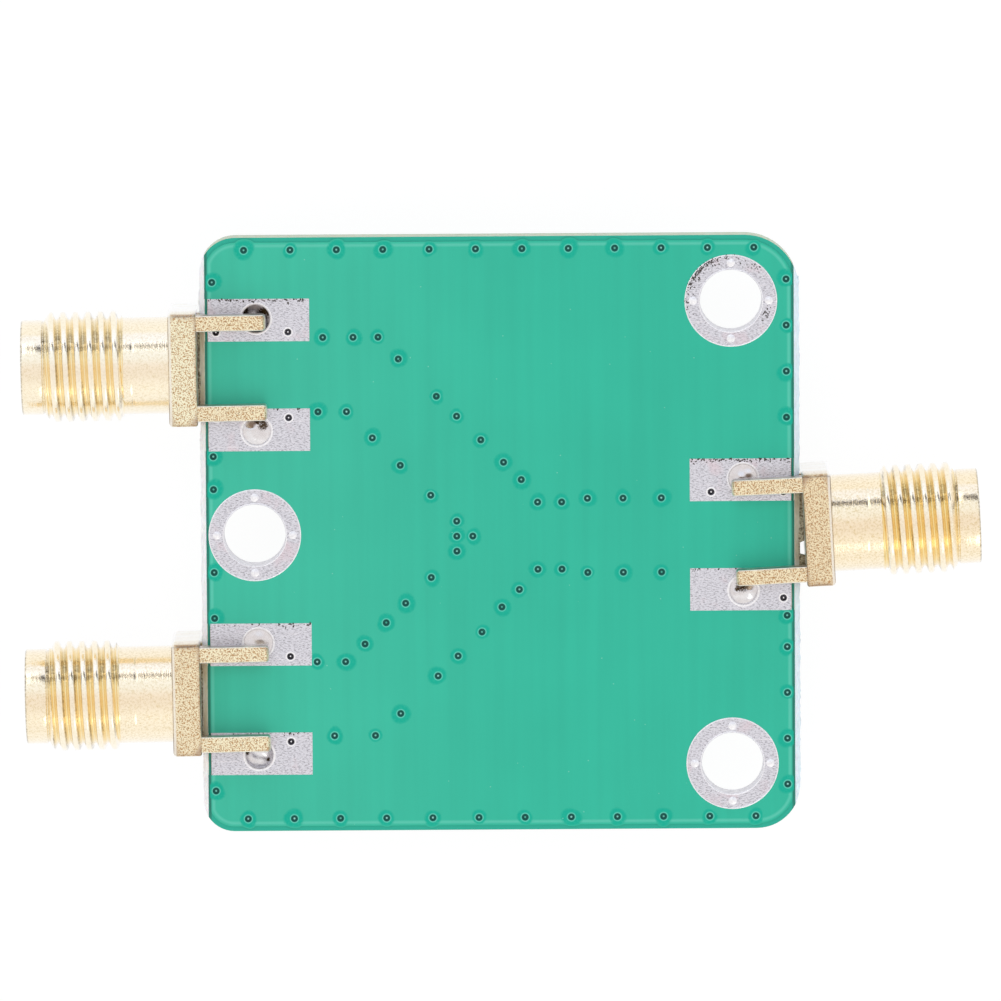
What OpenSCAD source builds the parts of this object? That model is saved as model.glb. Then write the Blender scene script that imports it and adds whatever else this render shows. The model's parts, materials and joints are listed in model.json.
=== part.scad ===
/* [Board] */
// Board length along X, over the snapped webs
board_len = 33.6; // [32:0.2:40]
// Board width along Y, between the milled edges
board_wid = 33.6; // [33:0.2:40]
// Board thickness over both copper faces
board_t = 1.6; // [1.2:0.1:2]
// Copper foil thickness
copper_t = 0.05; // [0.03:0.01:0.08]
// Solder mask thickness
mask_t = 0.03; // [0.02:0.01:0.04]
// Tinning thickness on the bare pads
tin_t = 0.04; // [0.04:0.01:0.06]
// Milled radius of the upper left corner
upper_left_r = 2; // [1.5:0.05:3]
// Milled radius of the lower left corner
lower_left_r = 1.75; // [1.5:0.05:3]
// Milled radius of the lower right corner
lower_right_r = 2.45; // [1.5:0.05:3.2]
// Milled radius of the upper right corner
upper_right_r = 3.05; // [1.5:0.05:3.2]
// Depth of the score cut from each face
score_depth = 0.48; // [0.2:0.02:0.5]
// Full angle of the score cut
score_angle = 60; // [30:5:60]
// Copper set back from the scored face edges
copper_side_inset = 0.18; // [0.15:0.01:0.25]
// Copper set back from the milled edges
copper_end_inset = 0.35; // [0.2:0.05:0.5]
// How far the mask steps down beside a copper edge
mask_step = 0.08; // [0.05:0.01:0.1]
// Offset of the tracks and pads from the board's middle, along Y
track_shift = -0.12; // [-0.2:0.02:0.2]

/* [Mounting holes] */
// Mounting hole radius inside its plating
mount_r = 1.75; // [1.5:0.05:1.8]
// Tinned ring outer radius
ring_r = 2.6; // [2.5:0.05:2.8]
// Distance of the right holes from the right edge
mount_right_edge = 3.8; // [3.6:0.1:4.4]
// Distance of the right holes from the milled edges
mount_end_edge = 3.7; // [3.6:0.1:4.4]
// Distance of the left hole from the left edge
mount_left_edge = 3.0; // [2.9:0.1:4]
// Radius of the circle of small vias in each ring
ring_via_circle = 2.13; // [2.1:0.01:2.25]

/* [Tracks] */
// Distance of each branch port from the board centre line
port_y = 9.18; // [9:0.02:9.8]
// Place of the star point along X
star_x = 1.4; // [1:0.1:2]
// Width of the 50 ohm lines
trace_w = 2.2; // [1.8:0.1:2.4]
// Gap between a line and the ground foil
trace_gap = 0.4; // [0.3:0.05:0.45]
// Distance of a resistor's middle from the star point
resistor_out = 2.6; // [2.5:0.1:3.2]

/* [Ground pads] */
// Distance from the board edge to the inner end of a ground pad
pad_reach = 6.15; // [5.6:0.05:6.3]
// Width of a ground pad
pad_w = 2.4; // [2.3:0.1:2.5]
// Distance of a ground pad's middle from the port axis
pad_off = 3.1; // [3.05:0.05:3.2]
// Radius of the larger hole in a ground pad, inside its plating
pad_hole_r = 0.8; // [0.6:0.05:0.85]
// Distance of that hole from the board edge
pad_hole_edge = 3.15; // [3:0.05:3.4]
// Distance of that hole from the port axis
pad_hole_off = 3.175; // [3.1:0.025:3.2]
// Width of the tinned centre pad under a contact pin
centre_pad_w = 1.8; // [1.7:0.05:1.8]
// How far the centre pad runs on past the pin
centre_pad_spare = 1; // [0.9:0.1:1.6]

/* [Vias] */
// Drilled radius of a small via
via_r = 0.2; // [0.16:0.01:0.22]
// Plating thickness in every hole
plating_t = 0.05; // [0.02:0.01:0.06]
// Pitch of the vias along the board edges
via_pitch = 2.6; // [2.4:0.1:3]
// Distance of the edge vias from the board edges
via_edge = 0.7; // [0.65:0.05:0.8]
// Distance of a via fence from its track's middle line
fence_off = 2.1; // [2.05:0.05:2.3]

/* [Jack] */
// Side of the square flange
flange_s = 6.35; // [6.25:0.05:6.6]
// Flange thickness
flange_t = 1.6; // [1.4:0.1:2]
// Neck radius
neck_r = 2.73; // [2.65:0.01:2.8]
// Neck length between flange and thread
neck_len = 2.6; // [2.5:0.1:3.5]
// Thread outer radius
thread_r = 3.1; // [3:0.05:3.12]
// Thread length with its run-out groove
thread_len = 4.4; // [4.2:0.1:5]
// Distance from one crest to the next
thread_pitch = 0.7056; // [0.7:0.0004:0.71]
// Number of full crests
thread_crests = 6; // [5:1:6]
// Height of the crests over the roots
thread_depth = 0.42; // [0.34:0.02:0.44]
// Width of the flat on a crest
crest_w = 0.1; // [0.06:0.01:0.12]
// Pilot lip radius
lip_r = 2.67; // [2.62:0.01:2.72]
// Pilot lip length
lip_len = 1.3; // [1:0.1:1.6]
// Counterbore radius at the mouth
mouth_r = 2.3; // [2.28:0.01:2.32]
// Counterbore depth to the reference plane
mouth_depth = 1.9; // [1.8:0.05:2]
// Insulator radius
insulator_r = 2.05; // [1.9:0.05:2.15]
// How far the insulator's face sits behind the reference plane
insulator_recess = 0.06; // [0.02:0.02:0.08]
// Socket contact radius
socket_r = 0.635; // [0.6:0.005:0.66]
// Radius of the socket's bore
socket_bore_r = 0.47; // [0.46:0.005:0.48]
// Depth of the socket's bore
socket_depth = 2.9; // [2.6:0.1:3.4]
// Width of the slots in the socket
slot_w = 0.18; // [0.12:0.02:0.24]
// Radius of the rear pin
pin_r = 0.45; // [0.38:0.01:0.5]
// Length of the rear pin behind the flange
pin_len = 3.3; // [2.6:0.1:3.6]
// Length of the legs behind the flange
leg_len = 3.9; // [3.6:0.1:4.4]
// Leg width
leg_w = 0.9; // [0.8:0.05:1]
// Thickness of the two legs on the track side
leg_t = 0.95; // [0.8:0.05:1.1]
// How far the other two legs stay below the flange's face
leg_drop = 0.08; // [0:0.02:0.2]
// Corner radius at the end of a leg
leg_tip_r = 0.2; // [0.1:0.02:0.3]
// Distance between the middles of two legs
leg_pitch = 5.08; // [5:0.01:5.2]

/* [Jack seating] */
// Gap between branch jack A and the board edge
branch_a_gap = 0.16; // [0.1:0.02:0.3]
// Gap between branch jack B and the board edge
branch_b_gap = 0.1; // [0.1:0.02:0.3]
// Gap between the common jack and the board edge
common_gap = 0.28; // [0.2:0.02:0.4]
// How far branch jack A was soldered off its track, along Y
branch_a_off = 0.38; // [0:0.02:0.4]
// How far branch jack B was soldered off its track, along Y
branch_b_off = 0.08; // [0:0.02:0.4]
// How far the common jack was soldered off its track, along Y
common_off = 0.28; // [0:0.02:0.4]
// Skew of branch jack A in degrees
branch_a_skew = 0.7; // [0:0.1:1]
// Skew of branch jack B in degrees
branch_b_skew = 0.8; // [0:0.1:1]
// Skew of the common jack in degrees
common_skew = 2.7; // [0:0.1:3]

/* [Resistors] */
// Chip length
chip_len = 1.6; // [1.5:0.05:2]
// Chip width
chip_w = 0.8; // [0.75:0.05:1.2]
// Alumina thickness
chip_t = 0.4; // [0.35:0.05:0.5]
// Length of an end cap
cap_len = 0.32; // [0.25:0.01:0.4]
// Thickness of an end cap
cap_t = 0.03; // [0.02:0.01:0.05]
// Thickness of the film and its overcoat
film_t = 0.04; // [0.02:0.01:0.06]

/* [Solder] */
// Fillet size round a leg on the track side
leg_fillet = 0.34; // [0.2:0.02:0.4]
// Fillet size at a chip's end
chip_fillet = 0.3; // [0.2:0.02:0.34]
// How far the solder spreads from a contact pin's middle
pin_spread = 0.82; // [0.7:0.02:0.86]

/* [Hidden] */
$fn = 64;
small_fn = 32;
via_fn = 20;
cut = 0.01;

// Colours as the photo shows them
gold = [0.88, 0.74, 0.50];
mask_green = [0.26, 0.75, 0.62];
tin_grey = [0.83, 0.81, 0.84];
solder_grey = [0.75, 0.75, 0.77];
laminate_tan = [0.80, 0.77, 0.66];
copper_red = [0.80, 0.50, 0.32];
ptfe_white = [0.95, 0.95, 0.93];
alumina_white = [0.93, 0.93, 0.90];
film_black = [0.08, 0.08, 0.09];

// Levels. The flanges rest on z = 0 and the board's plain side faces up. A contact pin lies on
// its track, so the jack's axis is one pin radius below the tinned track.
axis_z = flange_s / 2;
front_z = axis_z + pin_r + tin_t;
back_z = front_z + board_t;
core_front_z = front_z + copper_t;
core_back_z = back_z - copper_t;
front_tin_z = front_z - tin_t;
back_tin_z = back_z + tin_t;

// Plan of the board. The score cuts take score_w off each side face.
edge_x = board_len / 2;
edge_y = board_wid / 2;
score_w = score_depth * tan(score_angle / 2);
face_x = edge_x - score_w;
corners = [
    [-1, 1, upper_left_r], [-1, -1, lower_left_r],
    [1, -1, lower_right_r], [1, 1, upper_right_r],
];

// Hole radii in the laminate and inside the small vias
mount_drill_r = mount_r + plating_t;
pad_drill_r = pad_hole_r + plating_t;
via_bore_r = via_r - plating_t;

// Tracks. The branch lines leave the star point at 45 degrees and bend to run to the edge.
star = [star_x, track_shift];
arm_angle_a = 135;
arm_angle_b = -135;
arm_angle_common = 0;
arm_angles = [arm_angle_a, arm_angle_b, arm_angle_common];
diag_len = port_y * sqrt(2);
bend_x = star_x - port_y;
chip_gap = chip_len - 2 * cap_len;
land_len = cap_len + 0.35;
land_w = chip_w + 0.3;

// A port is [side, track y, jack's distance off the track, skew, gap to the board]
branch_a = [-1, port_y + track_shift, branch_a_off, branch_a_skew, branch_a_gap];
branch_b = [-1, -port_y + track_shift, branch_b_off, branch_b_skew, branch_b_gap];
common = [1, track_shift, common_off, common_skew, common_gap];
ports = [branch_a, branch_b, common];
function side_of(p) = p[0];
function track_y(p) = p[1];
function jack_off(p) = p[2];
function skew_of(p) = p[3];
function gap_of(p) = p[4];
function from_edge(p, inward, off) = [side_of(p) * (edge_x - inward), track_y(p) + off];

mounts = [
    [edge_x - mount_right_edge, edge_y - mount_end_edge],
    [edge_x - mount_right_edge, -edge_y + mount_end_edge],
    [-edge_x + mount_left_edge, 0],
];

// Each pad hole with the height its solder reaches over the pad. Solder under zero sank in.
pad_hole_fills = [[-0.5, 0.16], [0.02, -0.35], [0.04, 0.2]];
pad_holes = [for (i = [0:2]) for (s = [0, 1]) [
    from_edge(ports[i], pad_hole_edge, (s == 0 ? 1 : -1) * pad_hole_off),
    pad_hole_fills[i][s],
]];

// Vias in rows along the milled edges and in columns along the scored edges
row_clear = 2;
row_n = floor((edge_x - row_clear) / via_pitch - 0.5);
row_x = [for (i = [-row_n - 1:row_n]) (i + 0.5) * via_pitch];
row_y = edge_y - via_edge;
column_n = floor((edge_y - row_clear) / via_pitch - 0.5);
column_x = edge_x - via_edge;
pads_span = pad_off + pad_w / 2;
beside_pads = pads_span + 0.3;
right_column_y = [for (i = [-column_n - 1:column_n]) (i + 0.5) * via_pitch];
left_column_y = [
    edge_y - 2.5, track_y(branch_a) - beside_pads, 2.6, -2.1,
    track_y(branch_b) + beside_pads, -edge_y + 2.3,
];
edge_vias = [
    for (s = [1, -1]) for (x = row_x) [x, s * row_y],
    for (y = right_column_y) if (abs(y) > beside_pads) [column_x, y],
    [column_x, track_y(common) - beside_pads],
    for (y = left_column_y) [-column_x, y],
];

// Via fences along the tracks. Stations on a diagonal count from the star point and those on a
// straight run from the board edge.
diag_end_clear = 0.5;
diag_near = [2.4, 3.8];
diag_outer = [5.6, 7.5, 9.1, 12.1];
diag_a_inner = [5.4, 7.8, 10];
diag_b_inner = [5.4, 7.45, 9, 10.7];
run_a_outer = [6.9, 8.6, 10];
run_a_inner = [6.6, 8.2];
run_b_inner = [6.45, 8.05];
run_b_outer = [7.4, 9.7];
run_common = [7.75, 9.9, 11.9];
beside_star = [0.7, 2.05];
star_fence_off = fence_off - 0.2;
wedge = [[-3.85, 0.85], [-3.85, 0], [-3.85, -0.85], [-2.95, 0]];

function arm_point(a, s, off) = star + s * [cos(a), sin(a)] + off * [-sin(a), cos(a)];
function diag_row(a, stations, off) =
    [for (s = stations) if (s < diag_len - diag_end_clear) arm_point(a, s, off)];
function run_row(p, stations, off) = [for (s = stations) from_edge(p, s, off)];

fence_vias = concat(
    diag_row(arm_angle_a, diag_near, -fence_off),
    diag_row(arm_angle_a, diag_outer, -fence_off),
    diag_row(arm_angle_a, diag_a_inner, fence_off),
    diag_row(arm_angle_b, diag_near, star_fence_off),
    diag_row(arm_angle_b, diag_outer, fence_off),
    diag_row(arm_angle_b, diag_b_inner, -fence_off),
    run_row(branch_a, run_a_outer, fence_off),
    run_row(branch_a, run_a_inner, -fence_off),
    run_row(branch_b, run_b_inner, fence_off),
    run_row(branch_b, run_b_outer, -fence_off),
    run_row(common, run_common, fence_off),
    run_row(common, run_common, -fence_off),
    [for (s = [1, -1]) for (x = beside_star) star + [x, s * star_fence_off]],
    [for (w = wedge) star + w]
);
masked_vias = concat(edge_vias, fence_vias);

// Bare vias in the ground pads and rings
pad_via_inner = 4.95;
pad_via_outer = 0.9;
pad_via_off = 2.42;
pad_via_far_off = 3.6;
pad_vias = [
    from_edge(branch_a, pad_via_inner, pad_via_off),
    from_edge(branch_a, pad_via_inner, -pad_via_off),
    from_edge(branch_a, pad_via_outer, pad_via_off),
    from_edge(branch_a, pad_via_outer, -pad_via_off),
    from_edge(branch_b, pad_via_inner, pad_via_off),
    from_edge(branch_b, pad_via_inner, -pad_via_off),
    from_edge(common, pad_via_inner, pad_via_off),
    from_edge(common, pad_via_outer, pad_via_off),
    from_edge(common, pad_via_outer, -pad_via_far_off),
];
ring_vias = [for (m = mounts) for (a = [0:90:270]) m + ring_via_circle * [cos(a), sin(a)]];
bare_vias = concat(pad_vias, ring_vias);
all_vias = concat(masked_vias, bare_vias);

// Stations of a jack along its own axis, from the flange's back face outwards
neck_end = flange_t + neck_len;
thread_end = neck_end + thread_len;
jack_len = thread_end + lip_len;
plane_x = jack_len - mouth_depth;
contact_face_x = plane_x - 0.1;
shank_x = 1.2;
shell_start = 0.4;
groove_x = neck_end - 0.5;
groove_w = 0.12;
groove_depth = 0.08;
slot_len = 2.2;
root_r = thread_r - thread_depth;
flank_w = thread_depth * tan(30);
last_crest_x = thread_end - 0.53;
relief_x = thread_end - 0.18;
relief_r = 2.6;
finger_clear = 0.03;
leg_root = 0.2;
back_leg_t = flange_s - leg_drop - back_tin_z;

// Edge breaks
flange_front_bevel = 0.2;
flange_back_bevel = 0.1;
flange_round = 0.22;
lip_bevel = 0.1;
mouth_bevel = 0.12;
socket_bevel = 0.08;
pin_bevel = 0.15;
leg_bevel = 0.1;
leg_tip_bevel = 0.15;

// Solder keeps to the copper, which starts behind the score cut
joint_start = score_w + copper_side_inset + 0.2;
pin_climb = 0.8 * pin_r;
pin_relief = 0.1;
via_solder_r = via_r + 0.03;
via_solder_h = 0.07;

// Flat outlines

module board_outline(inset) {
    // The milled square with its four corner arcs, drawn in by inset
    difference() {
        square([2 * (edge_x - inset), 2 * (edge_y - inset)], center = true);
        for (c = corners) translate([c[0] * (edge_x - c[2]), c[1] * (edge_y - c[2])])
            scale([c[0], c[1]]) corner_waste(c[2], c[2] - inset);
    }
}

module corner_waste(size, r) {
    // What a cutter of radius r leaves outside its arc
    difference() {
        square(size + 1);
        circle(r);
    }
}

module face_outline(side_in, end_in) {
    // The board face between the score cuts, drawn in from the scored and the milled edges
    intersection() {
        board_outline(end_in);
        square([2 * (face_x - side_in), board_wid], center = true);
    }
}

module copper_outline(grow) {
    face_outline(copper_side_inset - grow, copper_end_inset - grow);
}

module spots(points, r) {
    for (p = points) translate(p) circle(r, $fn = via_fn);
}

module drilled(mount_hole, pad_hole, vias, via_hole) {
    difference() {
        children();
        for (m = mounts) translate(m) circle(mount_hole);
        for (h = pad_holes) translate(h[0]) circle(pad_hole, $fn = small_fn);
        spots(vias, via_hole);
    }
}

module ground_pads() {
    for (p = ports) for (s = [1, -1])
        translate(from_edge(p, pad_reach / 2, s * pad_off))
            square([pad_reach, pad_w], center = true);
}

module rings() {
    for (m = mounts) translate(m) circle(ring_r);
}

module centre_pads() {
    for (p = ports) {
        length = gap_of(p) + pin_len + centre_pad_spare;
        translate(from_edge(p, length / 2, 0)) square([length, centre_pad_w], center = true);
    }
}

module chip_lands() {
    for (a = arm_angles) translate(star) rotate(a) for (s = [1, -1])
        translate([resistor_out + s * (chip_gap + land_len) / 2, 0])
            square([land_len, land_w], center = true);
}

module arm_strip(a, from, to, w) {
    translate(star) rotate(a) translate([from, -w / 2]) square([to - from, w]);
}

module branch_line(p, a, from, w) {
    // A branch feed line from its resistor round the bend to the board edge
    arm_strip(a, from, diag_len, w);
    translate([bend_x, track_y(p)]) circle(w / 2);
    translate([-edge_x, track_y(p) - w / 2]) square([edge_x + bend_x, w]);
}

module feed_lines(from, w) {
    branch_line(branch_a, arm_angle_a, from, w);
    branch_line(branch_b, arm_angle_b, from, w);
    arm_strip(arm_angle_common, from, edge_x - star_x, w);
}

module star_hub(to, w) {
    translate(star) circle(w / 2);
    for (a = arm_angles) arm_strip(a, 0, to, w);
}

module signal_outline(grow) {
    // Feed lines and star point, all drawn grow larger
    intersection() {
        copper_outline(grow);
        union() {
            feed_lines(resistor_out + chip_gap / 2 - grow, trace_w + 2 * grow);
            star_hub(resistor_out - chip_gap / 2 + grow, trace_w + 2 * grow);
        }
    }
}

module ground_outline(grow) {
    // Ground foil of the track side, clear of the lines and of the resistors
    w = trace_w + 2 * (trace_gap - grow);
    difference() {
        copper_outline(grow);
        feed_lines(0, w);
        star_hub(resistor_out, w);
    }
}

// Board

module laminate() {
    color(laminate_tan) intersection() {
        translate([0, 0, core_front_z]) linear_extrude(core_back_z - core_front_z)
            drilled(mount_drill_r, pad_drill_r, all_vias, via_r) board_outline(0);
        scored_profile();
    }
}

module scored_profile() {
    // Section across X, with the score cuts from both faces and the snapped webs between them
    t = board_t / 2;
    web = t - score_depth;
    rotate([90, 0, 0]) translate([0, (front_z + back_z) / 2, -edge_y - 1])
        linear_extrude(board_wid + 2) polygon([
            [face_x, t], [edge_x, web], [edge_x, -web], [face_x, -t],
            [-face_x, -t], [-edge_x, -web], [-edge_x, web], [-face_x, t],
        ]);
}

module foil(z) {
    color(copper_red) translate([0, 0, z]) linear_extrude(copper_t)
        drilled(mount_r, pad_drill_r, all_vias, via_r) children();
}

module back_copper() {
    foil(core_back_z) copper_outline(0);
}

module ground_copper() {
    foil(front_z) ground_outline(0);
}

module signal_traces() {
    foil(front_z) signal_outline(0);
}

module back_mask() {
    // The mask steps down to the bare laminate beside the copper
    color(mask_green) translate([0, 0, core_back_z]) difference() {
        union() {
            linear_extrude(mask_t) face_outline(0, 0);
            linear_extrude(copper_t + mask_t) copper_outline(mask_step);
        }
        translate([0, 0, -cut]) linear_extrude(copper_t + cut) copper_outline(0);
        translate([0, 0, -cut]) linear_extrude(copper_t + mask_t + 2 * cut) {
            ground_pads();
            rings();
            spots(masked_vias, via_bore_r);
        }
    }
}

module front_mask() {
    color(mask_green) translate([0, 0, core_front_z]) mirror([0, 0, 1]) difference() {
        union() {
            linear_extrude(mask_t) face_outline(0, 0);
            linear_extrude(copper_t + mask_t) {
                ground_outline(mask_step);
                signal_outline(mask_step);
            }
        }
        translate([0, 0, -cut]) linear_extrude(copper_t + cut) {
            ground_outline(0);
            signal_outline(0);
        }
        translate([0, 0, -cut]) linear_extrude(copper_t + mask_t + 2 * cut) {
            ground_pads();
            rings();
            centre_pads();
            chip_lands();
            spots(masked_vias, via_bore_r);
        }
    }
}

module tin_layer(z) {
    color(tin_grey) translate([0, 0, z]) linear_extrude(tin_t)
        drilled(mount_r, pad_drill_r, bare_vias, via_bore_r) children();
}

module back_tin() {
    tin_layer(back_z) intersection() {
        copper_outline(0);
        union() {
            ground_pads();
            rings();
        }
    }
}

module front_tin() {
    tin_layer(front_tin_z) {
        intersection() {
            ground_outline(0);
            union() {
                ground_pads();
                rings();
            }
        }
        intersection() {
            signal_outline(0);
            union() {
                centre_pads();
                chip_lands();
            }
        }
    }
}

module barrel(r, z0, z1) {
    // A plated wall of outer radius r
    translate([0, 0, z0]) linear_extrude(z1 - z0) difference() {
        circle(r);
        circle(r - plating_t);
    }
}

module via_plating() {
    color(copper_red) for (v = all_vias) translate(v) barrel(via_r, front_z, back_z, $fn = via_fn);
}

module mounting_hole_plating() {
    // Runs from foil to foil, whose holes are flush with its inner wall
    color(tin_grey) for (m = mounts) translate(m)
        barrel(mount_drill_r, core_front_z, core_back_z);
}

module pad_hole_plating() {
    color(tin_grey) for (h = pad_holes)
        translate(h[0]) barrel(pad_drill_r, front_tin_z, back_tin_z, $fn = small_fn);
}

module dome(r, h) {
    // Spherical cap of base radius r and height h, standing on z = 0
    ball_r = (r * r + h * h) / (2 * h);
    intersection() {
        translate([0, 0, h - ball_r]) sphere(ball_r);
        cylinder(h = h + cut, r = r + cut);
    }
}

module ring_via_solder() {
    color(solder_grey) for (v = ring_vias) translate([v[0], v[1], 0]) {
        translate([0, 0, front_tin_z])
            cylinder(h = back_tin_z - front_tin_z, r = via_bore_r, $fn = small_fn);
        translate([0, 0, back_tin_z]) dome(via_solder_r, via_solder_h, $fn = small_fn);
        translate([0, 0, front_tin_z]) mirror([0, 0, 1])
            dome(via_solder_r, via_solder_h, $fn = small_fn);
    }
}

module pad_hole_solder() {
    color(solder_grey) difference() {
        for (h = pad_holes) translate([h[0][0], h[0][1], 0]) solder_plug(h[1], $fn = small_fn);
        for (p = ports) at_jack(p) for (s = [1, -1]) back_leg(s);
    }
}

module solder_plug(fill) {
    // Solder drawn up a pad hole: domed where it stands proud, with a moat and a heap where it sank
    top_z = back_tin_z + min(fill, 0);
    dish_r = 1.4;
    heap_r = pad_hole_r - 0.2;
    translate([0, 0, front_tin_z]) difference() {
        cylinder(h = top_z - front_tin_z, r = pad_hole_r);
        if (fill < 0) translate([0, 0, top_z - front_tin_z + dish_r - 0.1]) sphere(dish_r);
    }
    if (fill < 0) translate([0, 0, top_z - 0.2]) {
        cylinder(h = 0.2, r = heap_r);
        translate([0, 0, 0.2]) dome(heap_r, -fill * 0.8);
    }
    if (fill > 0) translate([0, 0, top_z]) dome(pad_hole_r, fill);
}

// Jacks. Each is drawn along +X from the middle of its flange's back face.

module at_jack(p) {
    facing = side_of(p) < 0 ? 180 : 0;
    translate([side_of(p) * (edge_x + gap_of(p)), track_y(p) + jack_off(p), axis_z])
        rotate(facing + skew_of(p)) children();
}

module turned(stations) {
    // Turns [station, radius] pairs round the jack's axis
    rotate([0, 90, 0]) rotate_extrude() polygon([for (q = stations) [q[1], q[0]]]);
}

module rounded_square(s, r) {
    square([s - 2 * r, s], center = true);
    square([s, s - 2 * r], center = true);
    for (x = [1, -1]) for (y = [1, -1])
        translate([x * (s / 2 - r), y * (s / 2 - r)]) circle(r, $fn = small_fn);
}

module flange() {
    // Square flange with rounded corners and bevelled front and back edges
    h = flange_s / 2;
    f = flange_front_bevel;
    b = flange_back_bevel;
    side = [
        [b, -h], [flange_t - f, -h], [flange_t, -h + f], [flange_t, h - f],
        [flange_t - f, h], [b, h], [0, h - b], [0, -h + b],
    ];
    intersection() {
        rotate([0, 90, 0]) linear_extrude(flange_t) rounded_square(flange_s, flange_round);
        translate([0, 0, -h]) linear_extrude(flange_s) polygon(side);
        translate([0, h, 0]) rotate([90, 0, 0]) linear_extrude(flange_s) polygon(side);
    }
}

module leg(t) {
    // A leg of thickness t that lies on z = 0 and runs back from the flange
    w = leg_w / 2;
    tip = -leg_len;
    section = [
        [-w, 0], [w, 0], [w, t - leg_bevel], [w - leg_bevel, t],
        [-w + leg_bevel, t], [-w, t - leg_bevel],
    ];
    profile = [
        [leg_root, 0], [leg_root, t], [tip + leg_tip_bevel, t],
        [tip, t - leg_tip_bevel], [tip, 0],
    ];
    intersection() {
        linear_extrude(t) leg_plan();
        translate([leg_root, 0, 0]) rotate([90, 0, -90])
            linear_extrude(leg_len + leg_root) polygon(section);
        translate([0, w, 0]) rotate([90, 0, 0]) linear_extrude(leg_w) polygon(profile);
    }
}

module leg_plan() {
    w = leg_w / 2;
    r = leg_tip_r;
    translate([-leg_len + r, -w]) square([leg_len - r + leg_root, leg_w]);
    translate([-leg_len, -w + r]) square([leg_len, leg_w - 2 * r]);
    for (s = [1, -1]) translate([-leg_len + r, s * (w - r)]) circle(r, $fn = small_fn);
}

module back_leg(s) {
    translate([0, s * leg_pitch / 2, back_tin_z - axis_z]) leg(back_leg_t);
}

module at_front_leg(s) {
    translate([0, s * leg_pitch / 2, front_tin_z - axis_z]) mirror([0, 0, 1]) children();
}

// A thread ring of 60 degree section, round the station of its crest
function crest(x) = [
    [x - crest_w / 2 - flank_w, root_r], [x - crest_w / 2, thread_r],
    [x + crest_w / 2, thread_r], [x + crest_w / 2 + flank_w, root_r],
];

module jack_body(p) {
    shell = [
        [shell_start, insulator_r], [shell_start, neck_r], [groove_x - groove_w, neck_r],
        [groove_x - groove_w / 2, neck_r - groove_depth], [groove_x, neck_r],
        [neck_end, neck_r],
        each [for (k = [thread_crests - 1:-1:0]) each crest(last_crest_x - k * thread_pitch)],
        [relief_x, root_r], [relief_x, relief_r], [thread_end - 0.05, relief_r],
        [thread_end, lip_r], [jack_len - lip_bevel, lip_r], [jack_len, lip_r - lip_bevel],
        [jack_len, mouth_r + mouth_bevel], [jack_len - mouth_bevel, mouth_r],
        [plane_x, mouth_r], [plane_x, insulator_r],
    ];
    color(gold) at_jack(p) {
        turned(shell);
        difference() {
            flange();
            translate([-cut, 0, 0]) rotate([0, 90, 0])
                cylinder(h = flange_t + 2 * cut, r = insulator_r);
        }
        for (s = [1, -1]) {
            back_leg(s);
            at_front_leg(s) leg(leg_t);
        }
    }
}

module jack_insulator(p) {
    // Sleeve that holds the pin and the shank, and stands free round the fingers
    fingers_x = plane_x - slot_len;
    front_x = plane_x - insulator_recess;
    color(ptfe_white) at_jack(p) turned([
        [0, pin_r], [0, insulator_r], [front_x, insulator_r],
        [front_x, socket_r + finger_clear], [fingers_x, socket_r + finger_clear],
        [fingers_x, socket_r], [shank_x, socket_r], [shank_x, pin_r],
    ]);
}

module jack_contact(p) {
    // Socket with four fingers in front, a shank in the sleeve and a pin behind the flange
    bore_x = contact_face_x - socket_depth;
    color(gold) at_jack(p) difference() {
        turned([
            [-pin_len, 0], [-pin_len, pin_r - pin_bevel], [-pin_len + pin_bevel, pin_r],
            [shank_x, pin_r], [shank_x, socket_r], [contact_face_x - socket_bevel, socket_r],
            [contact_face_x, socket_r - socket_bevel], [contact_face_x, socket_bore_r],
            [bore_x, socket_bore_r], [bore_x - socket_bore_r / 2, 0],
        ]);
        for (a = [45, 135]) rotate([a, 0, 0])
            translate([contact_face_x - slot_len, -slot_w / 2, -socket_r - cut])
                cube([slot_len + cut, slot_w, 2 * (socket_r + cut)]);
    }
}

// Solder joints

module cove_profile(size) {
    difference() {
        square(size);
        translate([size, size]) circle(size, $fn = small_fn);
    }
}

module cove(length, size) {
    // A hollow fillet along +X, in the corner between +Y and +Z
    rotate([90, 0, 90]) linear_extrude(length) cove_profile(size);
}

module leg_joint(p) {
    // A fillet down one side of a leg, round its end and back along the other side
    run = leg_len - leg_tip_r - gap_of(p) - joint_start;
    tip_w = leg_w - 2 * leg_tip_r;
    for (m = [0, 1]) mirror([0, m, 0]) translate([-leg_len + leg_tip_r, 0, 0]) {
        translate([0, leg_w / 2, 0]) cove(run, leg_fillet);
        translate([0, tip_w / 2, 0]) rotate(90) rotate_extrude(angle = 90, $fn = small_fn)
            translate([leg_tip_r, 0]) cove_profile(leg_fillet);
    }
    translate([-leg_len, -tip_w / 2, 0]) rotate(90) cove(tip_w, leg_fillet);
}

module spread_profile(inner) {
    // Half section of solder that thins from pin_climb at the inner radius to nothing at pin_spread
    run = pin_spread - inner;
    r = (run * run + pin_climb * pin_climb) / (2 * pin_climb);
    difference() {
        square([pin_spread, pin_climb]);
        translate([pin_spread, r]) circle(r);
    }
}

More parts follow.
